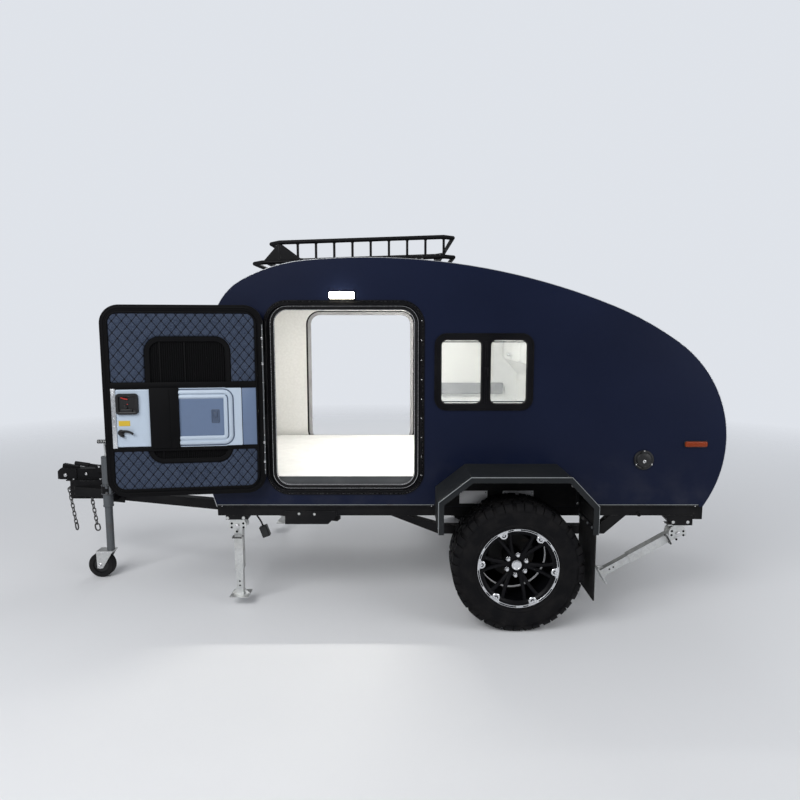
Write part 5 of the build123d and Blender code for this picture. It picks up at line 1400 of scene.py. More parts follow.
def doorway_ridges(form):
    """Ridges, bright rings that paint the highlight lines along the flange and round the doorway, bulb seal,
    screws and strike block of a door frame.
    """
    for grow in (0.051, 0.0415):
        ring(form, *DOORWAY, grow, [
            (-0.0022, FRAME_FACE), (-0.0016, -0.7578), (0.0, -0.7586), (0.0016, -0.7578),
            (0.0022, FRAME_FACE)])
    # Bright metal rings: painted highlight lines
    form.material = 1
    ring(form, *DOORWAY, 0.0465, [(-0.0009, FRAME_FACE), (0.0, -0.7571), (0.0009, FRAME_FACE)])
    ring(form, *DOORWAY, 0.001, [
        (-0.0011, CABIN_FACE), (-0.0011, -0.7325), (0.001, -0.7325), (0.001, CABIN_FACE)])
    ring(form, *DOORWAY, 0.021, [
        (-0.0014, SEAL_SEAT), (-0.001, -0.7328), (0.001, -0.7328), (0.0014, SEAL_SEAT)])
    form.material = 2
    ring(form, *DOORWAY, 0.012, [
        (-0.0042, SEAL_SEAT), (-0.0036, -0.733), (0.0, -0.7338), (0.0036, -0.733), (0.0042, SEAL_SEAT)])
    form.material = 1
    for z in (1.011, 1.034, 1.057):
        form.screw((-1.383, -0.7572, z), OUT, 0.0045)
    x, z = DOORWAY[0]
    for index in range(9):
        form.screw((x + 0.435, -0.7572, z - 0.44 + index * 0.11), OUT, 0.0032)
    form.block((x + 0.3946, -0.731, 1.2), (x + 0.3972, -0.72, 1.29), 0.0008)


def inlet_cover(form):
    """Round inlet cover with its hinge, keyhole, collar and three screws."""
    form.lathe([(0.057, SKIN), (0.057, FRAME_FACE), (0.0545, -0.759), (0.049, -0.7598), (0.046, -0.758),
                (0.043, -0.758), (0.041, -0.7625), (0.038, -0.7645), (0.015, -0.7655)], INLET, "Y", 56)
    form.block((INLET.x - 0.016, -0.765, INLET.z + 0.036), (INLET.x + 0.016, -0.7595, INLET.z + 0.052), 0.002)
    form.tube([(INLET.x - 0.018, -0.763, INLET.z + 0.046), (INLET.x + 0.018, -0.763, INLET.z + 0.046)],
              0.0028)
    form.block((INLET.x - 0.008, -0.766, INLET.z - 0.046), (INLET.x + 0.008, -0.76, INLET.z - 0.034), 0.002)
    form.material = 1
    form.lathe([(0.0095, -0.765), (0.0095, -0.7672), (0.008, -0.768), (0.006, -0.7672), (0.0015, -0.7672)],
               (INLET.x, 0, INLET.z - 0.006), "Y", 28)
    for angle in (90, 210, 330):
        form.screw(INLET + polar(0.0515, radians(angle), -0.7592), OUT, 0.0042)
    form.material = 0
    form.block((INLET.x - 0.001, -0.7684, INLET.z - 0.012), (INLET.x + 0.001, -0.7668, INLET.z), 0.0002, 1)


def side_marker(form):
    """Amber marker: ribbed lens in a black base."""
    form.moulding((MARKER.x, MARKER.z), (0.134, 0.038), 0.012, [
        (0.0, SKIN), (0.0, -0.7535), (0.0015, -0.7548), (0.0035, -0.7548), (0.0035, SKIN)], 6, around=True)
    form.material = 1
    form.moulding((MARKER.x, MARKER.z), (0.127, 0.031), 0.009, [
        (0.0, -0.7504), (0.0, -0.759), (0.0025, -0.7625), (0.006, -0.7638)], 6, caps=True)
    for index in range(9):
        x = MARKER.x + (index - 4) * 0.0125
        form.block((x - 0.0016, -0.764, MARKER.z - 0.0105),
                   (x + 0.0016, -0.7625, MARKER.z + 0.0105), 0.0005, 1)


def porch_lamp(form):
    """Awning lamp over the door: dark rim, lit lens and two screws."""
    x, z = PORCH_LAMP.x, PORCH_LAMP.z
    form.moulding((x, z), (0.147, 0.046), 0.008, [
        (0.0, SKIN), (0.0, -0.762), (0.003, -0.765), (0.0045, -0.765), (0.0045, SKIN)], 5, around=True)
    form.material = 1
    form.moulding((x, z), (0.137, 0.036), 0.006, [
        (0.0, -0.7504), (0.0, -0.776), (0.006, -0.782), (0.012, -0.7838)], 5, caps=True)
    form.material = 2
    for side in (-1, 1):
        form.screw((x + side * 0.069, -0.7648, z), OUT, 0.0022)


def skirt_screws(form):
    """Screws in the sill trim, and a bright steel strip along its top that paints the trim's highlight line.
    """
    for x in (-1.66, -0.45, 0.43, 1.072):
        form.screw((x, -0.7531, 0.6105), OUT, 0.003)
    # Bright strips: painted highlight along the top of the sill trim
    form.material = 1
    for x_low, x_high in ((-1.686, -0.436), (0.416, 1.088)):
        form.block((x_low, -0.7545, 0.6168), (x_high, -0.7528, 0.6204), 0.0006, 1)


def guard_details(form):
    """Bright steel edge that paints the highlight along a mudguard's rim, bolts and mounting flanges of a
    mudguard.
    """
    points = [(-0.43, 0.552), (-0.43, 0.726), (-0.261, 0.859), (0.265, 0.859), (0.41, 0.704), (0.41, 0.552)]
    form.material = 1
    form.tube([(x, -1.0838, z) for x, z in points], 0.0034, 8)
    form.material = 2
    for (x_a, z_a), (x_b, z_b) in zip(points, points[1:]):
        run = Vector((x_b - x_a, z_b - z_a))
        normal = Vector((run.y, -run.x)).normalized()
        count = max(1, round(run.length / GUARD_BOLT_PITCH))
        for index in range(count):
            share = (index + 0.5) / count
            place = Vector((x_a, z_a)) + run * share + normal * 0.016
            form.bolt((place.x, FRAME_FACE, place.y), OUT, 0.013, 0.0055)
    form.material = 0
    form.block((-0.262, FRAME_FACE, 0.822), (0.266, SKIN, 0.852), 0.001)
    form.block((-0.426, FRAME_FACE, 0.606), (-0.4, SKIN, 0.724), 0.001)
    form.block((0.38, FRAME_FACE, 0.606), (0.406, SKIN, 0.704), 0.001)


def wheel_well(form):
    """Dark splash panel on the wall behind the wheel, with two plain grey plates."""
    outline = [(-0.424, 0.608), (0.404, 0.608), (0.404, 0.703), (0.262, 0.853),
               (-0.259, 0.853), (-0.424, 0.723)]
    form.prism(outline, -0.7535, SKIN, 0.0008)
    form.material = 1
    for x_low, x_high, z_low, z_high in ((-0.29, -0.13, 0.628, 0.703), (-0.042, 0.135, 0.61, 0.703)):
        form.block((x_low, -0.759, z_low), (x_high, -0.7534, z_high), 0.002)
    form.material = 2
    for x in (-0.28, -0.14, -0.032, 0.125):
        form.screw((x, -0.7588, 0.693), OUT, 0.0038)


def flap_fixings(form):
    """Clamp bar and bolts that hold a mud flap."""
    form.block((0.393, -1.056, 0.56), (0.399, -0.78, 0.59), 0.001)
    form.material = 1
    for y in (-1.03, -0.95, -0.87, -0.8):
        form.bolt((0.393, y, 0.575), (-1, 0, 0), 0.012, 0.006)


class TRAILER_OT_fittings(bpy.types.Operator):
    """Windows, doorway, inlet, lamps and guards of the body"""
    bl_idname = "trailer.fittings"
    bl_label = "Body fittings"

    def execute(self, context):
        near(window_trim, ["frame_coat", "soft_rubber"], "black_frame")
        near(window_blind_box, "cabin_board", "white_plastic")
        alone(closed_blind, ["cabin_board", "dull_plate"], "white_plastic")
        near(doorway_lining, "dull_plate", "trim_metal")
        near(doorway_ridges, ["frame_coat", "bright_bolt", "soft_rubber"], "black_frame")
        lamps = alone(pair(porch_lamp), ["frame_coat", "lamp_white", "bright_bolt"], "lamp_white",
                      name="porch_lamps_dressed")
        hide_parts("porch_lamps")
        markers = alone(pair(side_marker), ["black_moulding", "lamp_amber"], "lamp_amber",
                        name="side_markers_dressed")
        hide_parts("side_markers")
        inlet = alone(inlet_cover, ["black_moulding", "bright_bolt"], "black_plastic")
        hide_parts("power_inlet")
        near(skirt_screws, ["bright_bolt", "edge_steel"], "trim_metal")
        near(guard_details, ["guard_paint", "edge_steel", "bright_bolt"], "black_steel")
        near(wheel_well, ["soft_rubber", "pale_plate", "bright_bolt"], "black_plastic")
        # The flap bolts are steel darkened for painted shade
        near(flap_fixings, ["chassis_paint", "shade_steel"], "black_steel")
        return {"FINISHED"}


# Cabin and galley

CABINET_FRONT = 0.2
ROOF_LAMP_Z = 1.96


def cabinet_doors(form):
    """Doors, gaps and knobs of the cupboard over the foot of the bed."""
    knobs = []
    for index in range(4):
        y_low = -0.712 + index * 0.356
        y_high = y_low + 0.352
        form.block((CABINET_FRONT - 0.012, y_low + 0.002, 1.401),
                   (CABINET_FRONT, y_high - 0.002, 1.76), 0.0025)
        knobs.append(y_high - 0.035 if index % 2 == 0 else y_low + 0.035)
    form.material = 1
    for y in knobs:
        form.lathe([(0.006, CABINET_FRONT - 0.0118), (0.0055, CABINET_FRONT - 0.02),
                    (0.011, CABINET_FRONT - 0.026), (0.0125, CABINET_FRONT - 0.031),
                    (0.0095, CABINET_FRONT - 0.035), (0.004, CABINET_FRONT - 0.0362)], (0, y, 1.435), "X", 24)


def ceiling_lamp(form):
    """Lit strip lamp along the middle of the cabin roof."""
    form.block((-1.0, -0.03, ROOF_LAMP_Z - 0.016), (-0.3, 0.03, ROOF_LAMP_Z + 0.01), 0.006, 3)
    form.material = 1
    form.block((-0.985, -0.022, ROOF_LAMP_Z - 0.0185), (-0.315, 0.022, ROOF_LAMP_Z - 0.0145), 0.0015)


class TRAILER_OT_cabin(bpy.types.Operator):
    """Cupboard doors and lamp inside the cabin"""
    bl_idname = "trailer.cabin"
    bl_label = "Cabin"

    def execute(self, context):
        alone(cabinet_doors, ["cabin_board", "machined_alloy"], "white_panel")
        alone(ceiling_lamp, ["white_moulding", "cabin_glow"], "lamp_white")
        return {"FINISHED"}


# Chassis, legs and nose

# Pin along and up, reach down to the sole, and lean at rest in degrees
FRONT_LEG = (-1.581, 0.486, 0.431, 0.0)
REAR_LEG = (0.99, 0.439, 0.507, 60.0)
LEG_Y = -0.695


def chassis_bolts(form):
    """Bolts of the rails and hangers, the welds above them, a pipe stub and the sill's end plates."""
    for x, z in ((-1.635, 0.536), (-1.542, 0.536), (0.955, 0.511), (1.04, 0.511)):
        form.bolt((x, -0.7402, z), OUT, 0.012, 0.006)
    for x, z in ((-1.218, 0.563), (-1.129, 0.56)):
        form.bolt((x, -0.7462, z), OUT, 0.0095, 0.005)
    form.material = 1
    form.lathe([(0.013, -0.74), (0.013, -0.748), (0.0105, -0.748), (0.01, -0.742)], (0.752, 0, 0.56), "Y", 24)
    for x_a, x_b in ((-0.68, -0.59), (0.585, 0.672), (-1.64, -1.52), (0.916, 1.064)):
        bead(form, (x_a, -0.7395, 0.5515), (x_b, -0.7395, 0.5515))
    for x in (-1.6905, 1.068):
        form.block((x, -0.738, 0.553), (x + 0.0055, -0.692, 0.604), 0.0015)


def leaning(leg):
    """Matrix that leans an upright leg about its pin to its resting place."""
    x, z, _, lean = leg
    pin = Vector((x, LEG_Y, z))
    return Matrix.Translation(pin) @ Matrix.Rotation(radians(lean), 4, "Y") @ Matrix.Translation(-pin)


def ear_holes(form, leg):
    """Flat dark discs where the holes are (painted shade, no holes cut), pin heads and plate bolts of a
    corner leg's half-round ears.
    """
    x, z = leg[:2]
    for side in (-1, 1):
        y = LEG_Y + side * 0.0325
        for angle in (158, 196, 262, 344, 22):
            place = Vector((x, y, z)) + polar(0.036, radians(angle), 0)
            form.lathe([(0.0068, y + side * 0.0004), (0.0068, y - side * 0.0002)],
                       (place.x, 0, place.z), "Y", 16)
    form.material = 1
    for side in (-1, 1):
        form.bolt((x, LEG_Y + side * 0.0365, z), (0, side, 0), 0.019, 0.0075, 1.3)
    for offset in (-0.042, 0.042):
        form.bolt((x + offset, LEG_Y - 0.018, z + (0.0335 if leg is FRONT_LEG else 0.0465)), (0, 0, -1),
                  0.011, 0.005, 1.3)


def leg_details(form, leg):
    """Flat dark discs where the adjustment holes are (painted shade, no holes cut), foot ribs and weld beads
    of a corner leg, at its resting lean.
    """
    x, z, reach, _ = leg
    sole = z - reach
    for height in (sole + 0.062, sole + 0.088):
        form.lathe([(0.0055, LEG_Y - 0.0202), (0.0055, LEG_Y - 0.0198)], (x, 0, height), "Y", 14)
    form.material = 1
    for offset in (-0.021, 0.021):
        bead(form, (x + offset, LEG_Y - 0.02, sole + 0.007), (x + offset, LEG_Y + 0.02, sole + 0.007), 0.0028)
    for low in (x - 0.048, x + 0.04):
        form.block((low, LEG_Y - 0.048, sole + 0.0058),
                   (low + 0.008, LEG_Y + 0.048, sole + 0.0078), 0.0005, 1)
    form.move(leaning(leg))


def leg_handle_cover(form, leg):
    """Dark sleeve over the pull handle of a corner leg."""
    x, z = leg[:2]
    bar_z = z - 0.066
    bar_y = LEG_Y - 0.025 - 0.026
    form.tube([(x - 0.026, LEG_Y - 0.026, bar_z), (x - 0.026, bar_y, bar_z), (x + 0.026, bar_y, bar_z),
               (x + 0.026, LEG_Y - 0.026, bar_z)], 0.0058)
    form.move(leaning(leg))


# Top of each chain along, across and up, and its length
CHAINS = ((-2.937, -0.02, 0.524, 0.262), (-2.752, -0.075, 0.452, 0.18))
CHAIN_LEAN = 8.0
CHAIN_PITCH = 0.0284
CHAIN_STUD_X = -2.905
JACK = (-2.538, -0.29)
JOCKEY_HUB = (-2.598, -0.29, 0.083)


def chain_loop(centre_z, half_width, half_length, quarter):
    """Centre line of one link, in the side view or turned by a quarter."""
    points = []
    for corner, start in ((1, 0.0), (-1, pi)):
        for step in range(9):
            angle = start + pi * step / 8
            across = half_width * cos(angle)
            along = centre_z + corner * (half_length - half_width) + half_width * sin(angle)
            points.append((across, 0.0, along) if not quarter else (0.0, across, along))
    return points


def chain_links(form):
    """Round-bar links and shackles of both safety chains, with their anchors."""
    for x, y, z, length in CHAINS:
        links = int(length // CHAIN_PITCH)
        part = Form()
        for index in range(links):
            part.tube(chain_loop(-0.014 - index * CHAIN_PITCH, 0.0095, 0.0175, index % 2),
                      0.0036, 8, closed=True)
        foot = 0.014 + (links - 0.5) * CHAIN_PITCH + 0.02
        part.tube(chain_loop(-foot, 0.016, 0.025, links % 2), 0.005, closed=True)
        part.move(Matrix.Translation((x, y, z)) @ Matrix.Rotation(radians(-CHAIN_LEAN), 4, "Y"))
        form.join(part)
        if x > CHAIN_STUD_X:
            form.tube([(x, y - 0.0095, 0.485), (x, y - 0.0095, z - 0.002), (x, y, z - 0.006),
                       (x, y + 0.0095, z - 0.002), (x, y + 0.0095, 0.485)], 0.0038)
        else:
            form.tube([(-2.9055, y, z + 0.01), (x + 0.004, y, z + 0.01), (x - 0.003, y, z),
                       (x + 0.004, y, z - 0.01), (-2.9055, y, z - 0.01)], 0.0038)


def coupler_details(form):
    """Bolts, pin, grip ribs and edge beads of the coupler, with a strip and bolts on the nose box."""
    for x in (-2.885, -2.7):
        for y in (-0.046, 0.046):
            form.bolt((x, y, 0.592), (0, 0, 1), 0.016, 0.008, 1.4)
    for side in (-1, 1):
        form.bolt((-2.942, side * 0.047, 0.623), (0, side, 0), 0.018, 0.007, 1.3)
    form.lathe([(0.0085, -0.036), (0.0085, -0.046), (0.007, -0.047)], (-2.8, 0, 0.63), "Y", 20)
    form.material = 1
    for index in range(4):
        x = -2.958 + index * 0.018
        height = 0.696 - (x + 2.972) * 0.18
        form.block((x - 0.003, -0.011, height - 0.006), (x + 0.003, 0.011, height + 0.001), 0.0008, 1)
    form.material = 2
    for y in (-0.0352, 0.0352):
        bead(form, (-2.866, y, 0.5935), (-2.694, y, 0.5935), 0.003)
    form.block((-2.9, -0.064, 0.52), (-2.68, -0.0618, 0.526), 0.0008, 1)
    for x in (-2.89, -2.69):
        for z in (0.475, 0.57):
            form.bolt((x, -0.062, z), OUT, 0.01, 0.0045, 1.3)


def brake_grip(form):
    """Ribbed grip and pivot bolt of the parking brake."""
    pivot = Vector((-2.702, -0.047, 0.684))
    tip = Vector((-2.868, -0.047, 0.708))
    profile = []
    for index in range(41):
        share = index / 40
        radius = 0.0138 - (0.0016 if index % 4 < 2 else 0.0) + 0.0006 * sin(pi * share)
        profile.append((min(radius, 0.014), 0.0005 + 0.095 * share))
    grip = form.part()
    grip.lathe(profile, ORIGIN, "Z", 20)
    form.join(grip.move(pointing(tip, (pivot - tip).normalized())))
    form.material = 1
    form.bolt((-2.702, -0.054, 0.684), OUT, 0.014, 0.006, 1.4)


def jack_details(form):
    """Cap, collars, sleeve, clamp rings and bolts of the nose jack's housing."""
    x, y = JACK
    form.lathe([(0.029, 0.799), (0.0305, 0.8), (0.0305, 0.8045), (0.027, 0.8075), (0.012, 0.808)],
               (x, y, 0), "Z", 32)
    form.lathe([(0.0302, 0.4745), (0.0325, 0.4755), (0.0325, 0.484), (0.0302, 0.485)], (x, y, 0), "Z", 32,
               around=True)
    form.lathe([(0.0298, 0.485), (0.0304, 0.485), (0.0304, 0.799), (0.0298, 0.799)], (x, y, 0), "Z", 40,
               around=True)
    for z in (0.56, 0.617):
        form.lathe([(0.038, z - 0.002), (0.0395, z), (0.0395, z + 0.003), (0.038, z + 0.005)], (x, y, 0),
                   "Z", 32, around=True)
    for z in (0.572, 0.608):
        form.bolt((x + 0.01, y - 0.037, z), (0.25, -1, 0), 0.013, 0.007, 1.35)
    form.block((x + 0.025, y - 0.04, 0.564), (x + 0.04, y - 0.018, 0.616), 0.002)
    for z in (0.56, 0.505):
        form.bolt((x - 0.044, y + 0.108, z), OUT, 0.012, 0.0055, 1.35)
        form.bolt((x + 0.044, y + 0.115, z), OUT, 0.012, 0.0055, 1.35)


def crank_sleeve(form):
    """Black sleeve on the crank's grip."""
    x = JACK[0] - 0.008
    profile = [(0.0118 + (0.0014 if index % 2 else 0.0), x - 0.04 + 0.086 * (index / 16))
               for index in range(17)]
    form.lathe(profile, (0, JACK[1], 0.915 - 0.012), "X", 24)


def jockey_hub(form):
    """Hub and tyre ribs of the jockey wheel."""
    x, y, z = JOCKEY_HUB
    form.material = 1
    form.lathe([(0.05, y - 0.0195), (0.05, y - 0.0215), (0.047, y - 0.0225), (0.018, y - 0.025),
                (0.017, y - 0.0285), (0.009, y - 0.0285), (0.009, y - 0.0195)], (x, 0, z),
               "Y", 40, around=True)
    form.material = 0
    for side in (-1, 1):
        form.lathe([(0.0815, y + side * 0.002), (0.0828, y + side * 0.004), (0.0828, y + side * 0.006),
                    (0.0815, y + side * 0.008)], (x, 0, z), "Y", 56, around=True)


def fork_nuts(form):
    """Axle nuts and discs of the jockey fork, and a strip on its cheek."""
    x, y, z = JOCKEY_HUB
    for side in (-1, 1):
        form.bolt((x, y + side * 0.0398, z), (0, side, 0), 0.017, 0.008, 1.4)
        form.lathe([(0.019, y + side * 0.0342), (0.019, y + side * 0.0392), (0.018, y + side * 0.04)],
                   (x, 0, z), "Y", 28)
    form.block((x - 0.018, y - 0.04, 0.169), (x + 0.084, y - 0.0386, 0.175), 0.0004, 1)


# Front and rear end of the basket's foot rail and of its top rail, along and up
RACK_FOOT = ((-1.509, 2.017), (-0.311, 2.055))
RACK_RAIL = ((-1.405, 2.133), (-0.316, 2.169))
RACK_MARGIN = 0.058


def rack_details(form):
    """Clamp bolts, and collars at both ends of the roof basket's uprights."""
    for x in (-1.29, -0.52):
        for offset in (-0.018, 0.018):
            form.bolt((x + offset, -0.5022, 2.006 if x < -1 else 2.033), OUT, 0.012, 0.006, 1.4)
    form.material = 1
    (front, front_z), (rear, rear_z) = RACK_RAIL
    slope = (rear_z - front_z) / (rear - front)
    foot_slope = (RACK_FOOT[1][1] - RACK_FOOT[0][1]) / (RACK_FOOT[1][0] - RACK_FOOT[0][0])
    for index in range(10):
        x = front + RACK_MARGIN + index * (rear - front - 2 * RACK_MARGIN) / 9
        low = RACK_FOOT[0][1] + (x - RACK_FOOT[0][0]) * foot_slope
        high = front_z + (x - front) * slope
        for z in (low + 0.009, high - 0.015):
            form.block((x - 0.0095, -0.486, z), (x + 0.0095, -0.474, z + 0.006), 0.0015)


class TRAILER_OT_chassis(bpy.types.Operator):
    """Bolts, welds, legs, coupler, jack and chains"""
    bl_idname = "trailer.chassis"
    bl_label = "Chassis and nose"

    def execute(self, context):
        near(chassis_bolts, ["zinc_plate", "chassis_paint"], "zinc_steel")
        for name, leg in (("front", FRONT_LEG), ("rear", REAR_LEG)):
            body = "leg_" + name + "_{side}"
            # The dark discs on the legs are painted shade for their holes
            near(lambda form: ear_holes(form, leg), ["dark_hole", "bright_bolt"], "zinc_steel",
                 name="ear_details_" + name)
            near(lambda form: leg_details(form, leg), ["dark_hole", "zinc_plate"], "zinc_steel", body,
                 name="leg_details_" + name)
            near(lambda form: leg_handle_cover(form, leg), "black_moulding", "black_plastic", body,
                 name="leg_handle_" + name)
        links = alone(chain_links, "worn_zinc", "zinc_steel", smooth=60.0)
        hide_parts("safety_chains")
        alone(coupler_details, ["bright_bolt", "black_moulding", "chassis_paint"], "zinc_steel")
        alone(brake_grip, ["soft_rubber", "bright_bolt"], "black_plastic")
        # The jack's fittings are steel darkened for painted shade
        alone(jack_details, "shade_steel", "zinc_steel")
        alone(crank_sleeve, "black_moulding", "black_plastic")
        alone(jockey_hub, ["soft_rubber", "black_moulding"], "black_plastic", "jockey_wheel")
        alone(fork_nuts, "bright_bolt", "zinc_steel", "jockey_fork")
        near(rack_details, ["bright_bolt", "rack_coat"], "black_steel")
        return {"FINISHED"}


# Tail, galley and running gear

AXLE_Z = 0.355
DRAWER_SPANS = ((0.652, 0.8), (0.806, 0.948), (0.954, 1.096))
HOB_X = 0.705
HATCH_PULL = (1.1903, 0.7)
HATCH_SKIN = (1.1603, 0.7)
HATCH_NORMAL = Vector((0.907, 0.0, -0.42))


def tail_lamp(form):
    """Tail lamp with amber, red and clear lenses in a black base."""
    form.block((1.121, -0.675, 0.552), (1.129, -0.505, 0.604), 0.002)
    for slot, low, high in ((1, -0.673, -0.619), (2, -0.6175, -0.5625), (3, -0.561, -0.507)):
        form.material = slot
        form.block((1.127, low, 0.554), (1.144, high, 0.602), 0.0045, 3)
        for index in range(5):
            z = 0.561 + index * 0.007
            form.block((1.1434, low + 0.007, z), (1.1449, high - 0.007, z + 0.003), 0.0005, 1)


def hatch_pull(form):
    """Sleeve over the hatch's pull bar, with its feet and two round locks."""
    x, z = HATCH_PULL
    form.tube([(x, -0.079, z), (x, 0.079, z)], 0.0102, 16)
    for y in (-0.062, 0.062):
        form.lathe([(0.01, HATCH_SKIN[0] - 0.004), (0.01, x)], (0, y, z), "X", 16)
        form.lathe([(0.0185, HATCH_SKIN[0] - 0.004), (0.0185, HATCH_SKIN[0] + 0.006),
                    (0.012, HATCH_SKIN[0] + 0.01)], (0, y, z), "X", 24)
    for y in (-0.42, 0.42):
        lock = Form()
        lock.lathe([(0.03, -0.003), (0.03, 0.003), (0.027, 0.006), (0.018, 0.007), (0.016, 0.005)],
                   ORIGIN, "Z", 32)
        lock.material = 1
        lock.lathe([(0.011, 0.004), (0.011, 0.0085), (0.0095, 0.0095), (0.006, 0.0088)], ORIGIN, "Z", 24)
        form.join(lock.move(pointing((HATCH_SKIN[0], y, HATCH_SKIN[1]), HATCH_NORMAL)))


def hinge_screws(form):
    """Screws along the hatch hinge's leaf on the roof."""
    for index in range(13):
        form.screw((0.3295, -0.672 + index * 0.112, 1.8338), (0.314, 0, 0.949), 0.0048)


def galley_fronts(form):
    """Drawer fronts with handles, frame of the open locker, worktop edge and shelf rail."""
    for low, high in DRAWER_SPANS:
        form.block((0.9796, -0.012, low), (0.995, 0.712, high), 0.0025)
    for y_low, y_high, z_low, z_high in (
            (-0.668, -0.022, 0.69, 0.707), (-0.668, -0.022, 1.051, 1.068), (-0.668, -0.649, 0.706, 1.052),
            (-0.037, -0.022, 0.706, 1.052)):
        form.block((0.9796, y_low, z_low), (0.985, y_high, z_high), 0.0015)
    form.material = 1
    for x, low, high in ((1.0696, 1.1032, 1.1288), (0.5766, 1.4612, 1.4768)):
        form.block((x, -0.718, low), (x + 0.002, 0.718, high), 0.0006, 1)
    for low, high in DRAWER_SPANS:
        z = high - 0.03
        for y in (0.25, 0.45):
            form.lathe([(0.0048, 0.994), (0.0048, 1.016)], (0, y, z), "X", 14)
        form.tube([(1.016, 0.232, z), (1.016, 0.468, z)], 0.0056, 12)


def hob(form):
    """Two-ring cooking plate on the worktop."""
    form.block((0.56, 0.2, 1.1296), (0.88, 0.64, 1.137), 0.003)
    form.material = 1
    for y in (0.31, 0.53):
        form.lathe([(0.042, 1.1365), (0.042, 1.143), (0.036, 1.145), (0.012, 1.1455)], (HOB_X, y, 0), "Z", 32)
        for turn in range(4):
            angle = radians(45 + 90 * turn)
            ray = Vector((cos(angle), sin(angle), 0))
            centre = Vector((HOB_X, y, 1.15))
            form.tube([centre + ray * 0.02, centre + ray * 0.078,
                       centre + ray * 0.082 - Vector((0, 0, 0.013))], 0.003, 8)
        form.lathe([(0.013, 1.1365), (0.012, 1.15), (0.01, 1.152)], (0.85, y, 0), "Z", 20)


def brake_plate_shade_cone(form):
    """Dished brake backing plate with its bolts, flared out in deep black until it reaches into the rim: the
    flare is painted shade that hides the floor behind the spokes.
    """
    form.lathe([(0.032, -0.757), (0.125, -0.757), (0.129, -0.7545), (0.15, -0.76), (0.185, -0.822),
                (0.1888, -0.828), (0.19, -0.826), (0.1868, -0.82), (0.152, -0.7575), (0.129, -0.7505),
                (0.032, -0.7505)], (0, 0, AXLE_Z), "Y", 56, around=True)
    form.material = 1
    for index in range(4):
        angle = radians(45 + index * 90)
        form.bolt(Vector((0, 0, AXLE_Z)) + polar(0.052, angle, -0.7505), (0, 1, 0), 0.013, 0.007, 1.3)


def drum_ribs(form):
    """Cooling ribs and face edge of a brake drum."""
    for y in (-0.772, -0.786, -0.8):
        form.lathe([(0.127, y), (0.1296, y), (0.1296, y - 0.006), (0.127, y - 0.006)], (0, 0, AXLE_Z),
                   "Y", 64, around=True)
    form.lathe([(0.118, -0.8298), (0.129, -0.8298), (0.129, -0.824), (0.118, -0.824)], (0, 0, AXLE_Z),
               "Y", 64, around=True)


def beam_clamps(form):
    """U-bolts that clamp the axle beam, with their nuts, and the damper's end bolt and sleeve."""
    for y in (-0.61, -0.555):
        form.tube([(-0.1945, y, 0.47), (-0.1945, y, 0.376), (-0.1885, y, 0.367), (-0.1215, y, 0.367),
                   (-0.1155, y, 0.376), (-0.1155, y, 0.47)], 0.005)
        for x in (-0.1945, -0.1155):
            form.bolt((x, y, 0.456), (0, 0, 1), 0.015, 0.009, 1.3)
    form.bolt((-0.04, -0.7262, 0.372), OUT, 0.018, 0.008, 1.3)
    foot, head = Vector((-0.04, -0.658, 0.372)), Vector((-0.11, -0.658, 0.545))
    form.material = 1
    tube = form.part()
    tube.lathe([(0.0238, 0.06), (0.0262, 0.062), (0.0262, 0.108), (0.024, 0.111), (0.015, 0.1115)], ORIGIN,
               "Z", 32)
    form.join(tube.move(pointing(foot, (head - foot).normalized())))


class TRAILER_OT_tail(bpy.types.Operator):
    """Tail lamps, hatch pull and locks, galley fronts and running gear"""
    bl_idname = "trailer.tail"
    bl_label = "Tail and running gear"

    def execute(self, context):
        lamps = alone(pair(tail_lamp), [
            "black_moulding", "lamp_amber", "lamp_red", "lamp_clear"], "lamp_red", name="tail_lamps_dressed")
        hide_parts("tail_lamps")
        alone(hatch_pull, ["black_moulding", "bright_bolt"], "black_plastic", "hatch")
        alone(hinge_screws, "bright_bolt", "zinc_steel")
        alone(galley_fronts, ["cabin_board", "trim_strip"], "white_panel")
        alone(hob, ["hot_plate", "black_moulding"], "black_plastic")
        # Brake plates whose black flare paints the shade inside the wheels
        near(brake_plate_shade_cone, ["deep_black", "bright_bolt"], "black_steel")
        near(drum_ribs, "drum_iron", "cast_hub", "wheel_{side}")
        near(beam_clamps, ["bright_bolt", "chassis_paint"], "zinc_steel")
        return {"FINISHED"}


# Stage

class StudioSettings(bpy.types.PropertyGroup):
    """Camera, light and floor."""
    lens: bpy.props.FloatProperty(name="Lens", description="Focal length in millimetres on a 36 mm sensor",
                                  default=27.9, min=10.0, max=200.0)
    pitch: bpy.props.FloatProperty(name="Pitch", description="How far the camera looks down",
                                   default=radians(6.7), subtype="ANGLE")
    place: bpy.props.FloatVectorProperty(name="Camera place", description="Where the camera stands",
                                         default=(0.259, -4.237, 1.637), subtype="TRANSLATION", unit="LENGTH")
    floor_colour: bpy.props.FloatVectorProperty(name="Floor colour", description="Pale floor", size=3,
                                                default=(0.84, 0.85, 0.87), subtype="COLOR", min=0.0, max=1.0)
    key_power: bpy.props.FloatProperty(name="Key light", description="Power of the large soft light",
                                       default=215.0, min=0.0, unit="POWER")
    world_level: bpy.props.FloatProperty(name="Ambient level", description="Strength of the even light",
                                         default=0.36, min=0.0)


class TrailerColours(bpy.types.PropertyGroup):
    """Colours that a user would change."""
    wall: bpy.props.FloatVectorProperty(name="Body colour", description="Satin paint of the body", size=3,
                                        default=(0.0048, 0.008, 0.025), subtype="COLOR", min=0.0, max=1.0)
    lamp_glow: bpy.props.FloatProperty(name="Porch lamp glow", description="Strength of the lit porch lamp",
                                       default=22.0, min=0.0)
    cabin_glow: bpy.props.FloatProperty(name="Cabin lamp glow", description="Strength of the cabin's lamp",
                                        default=170.0, min=0.0)


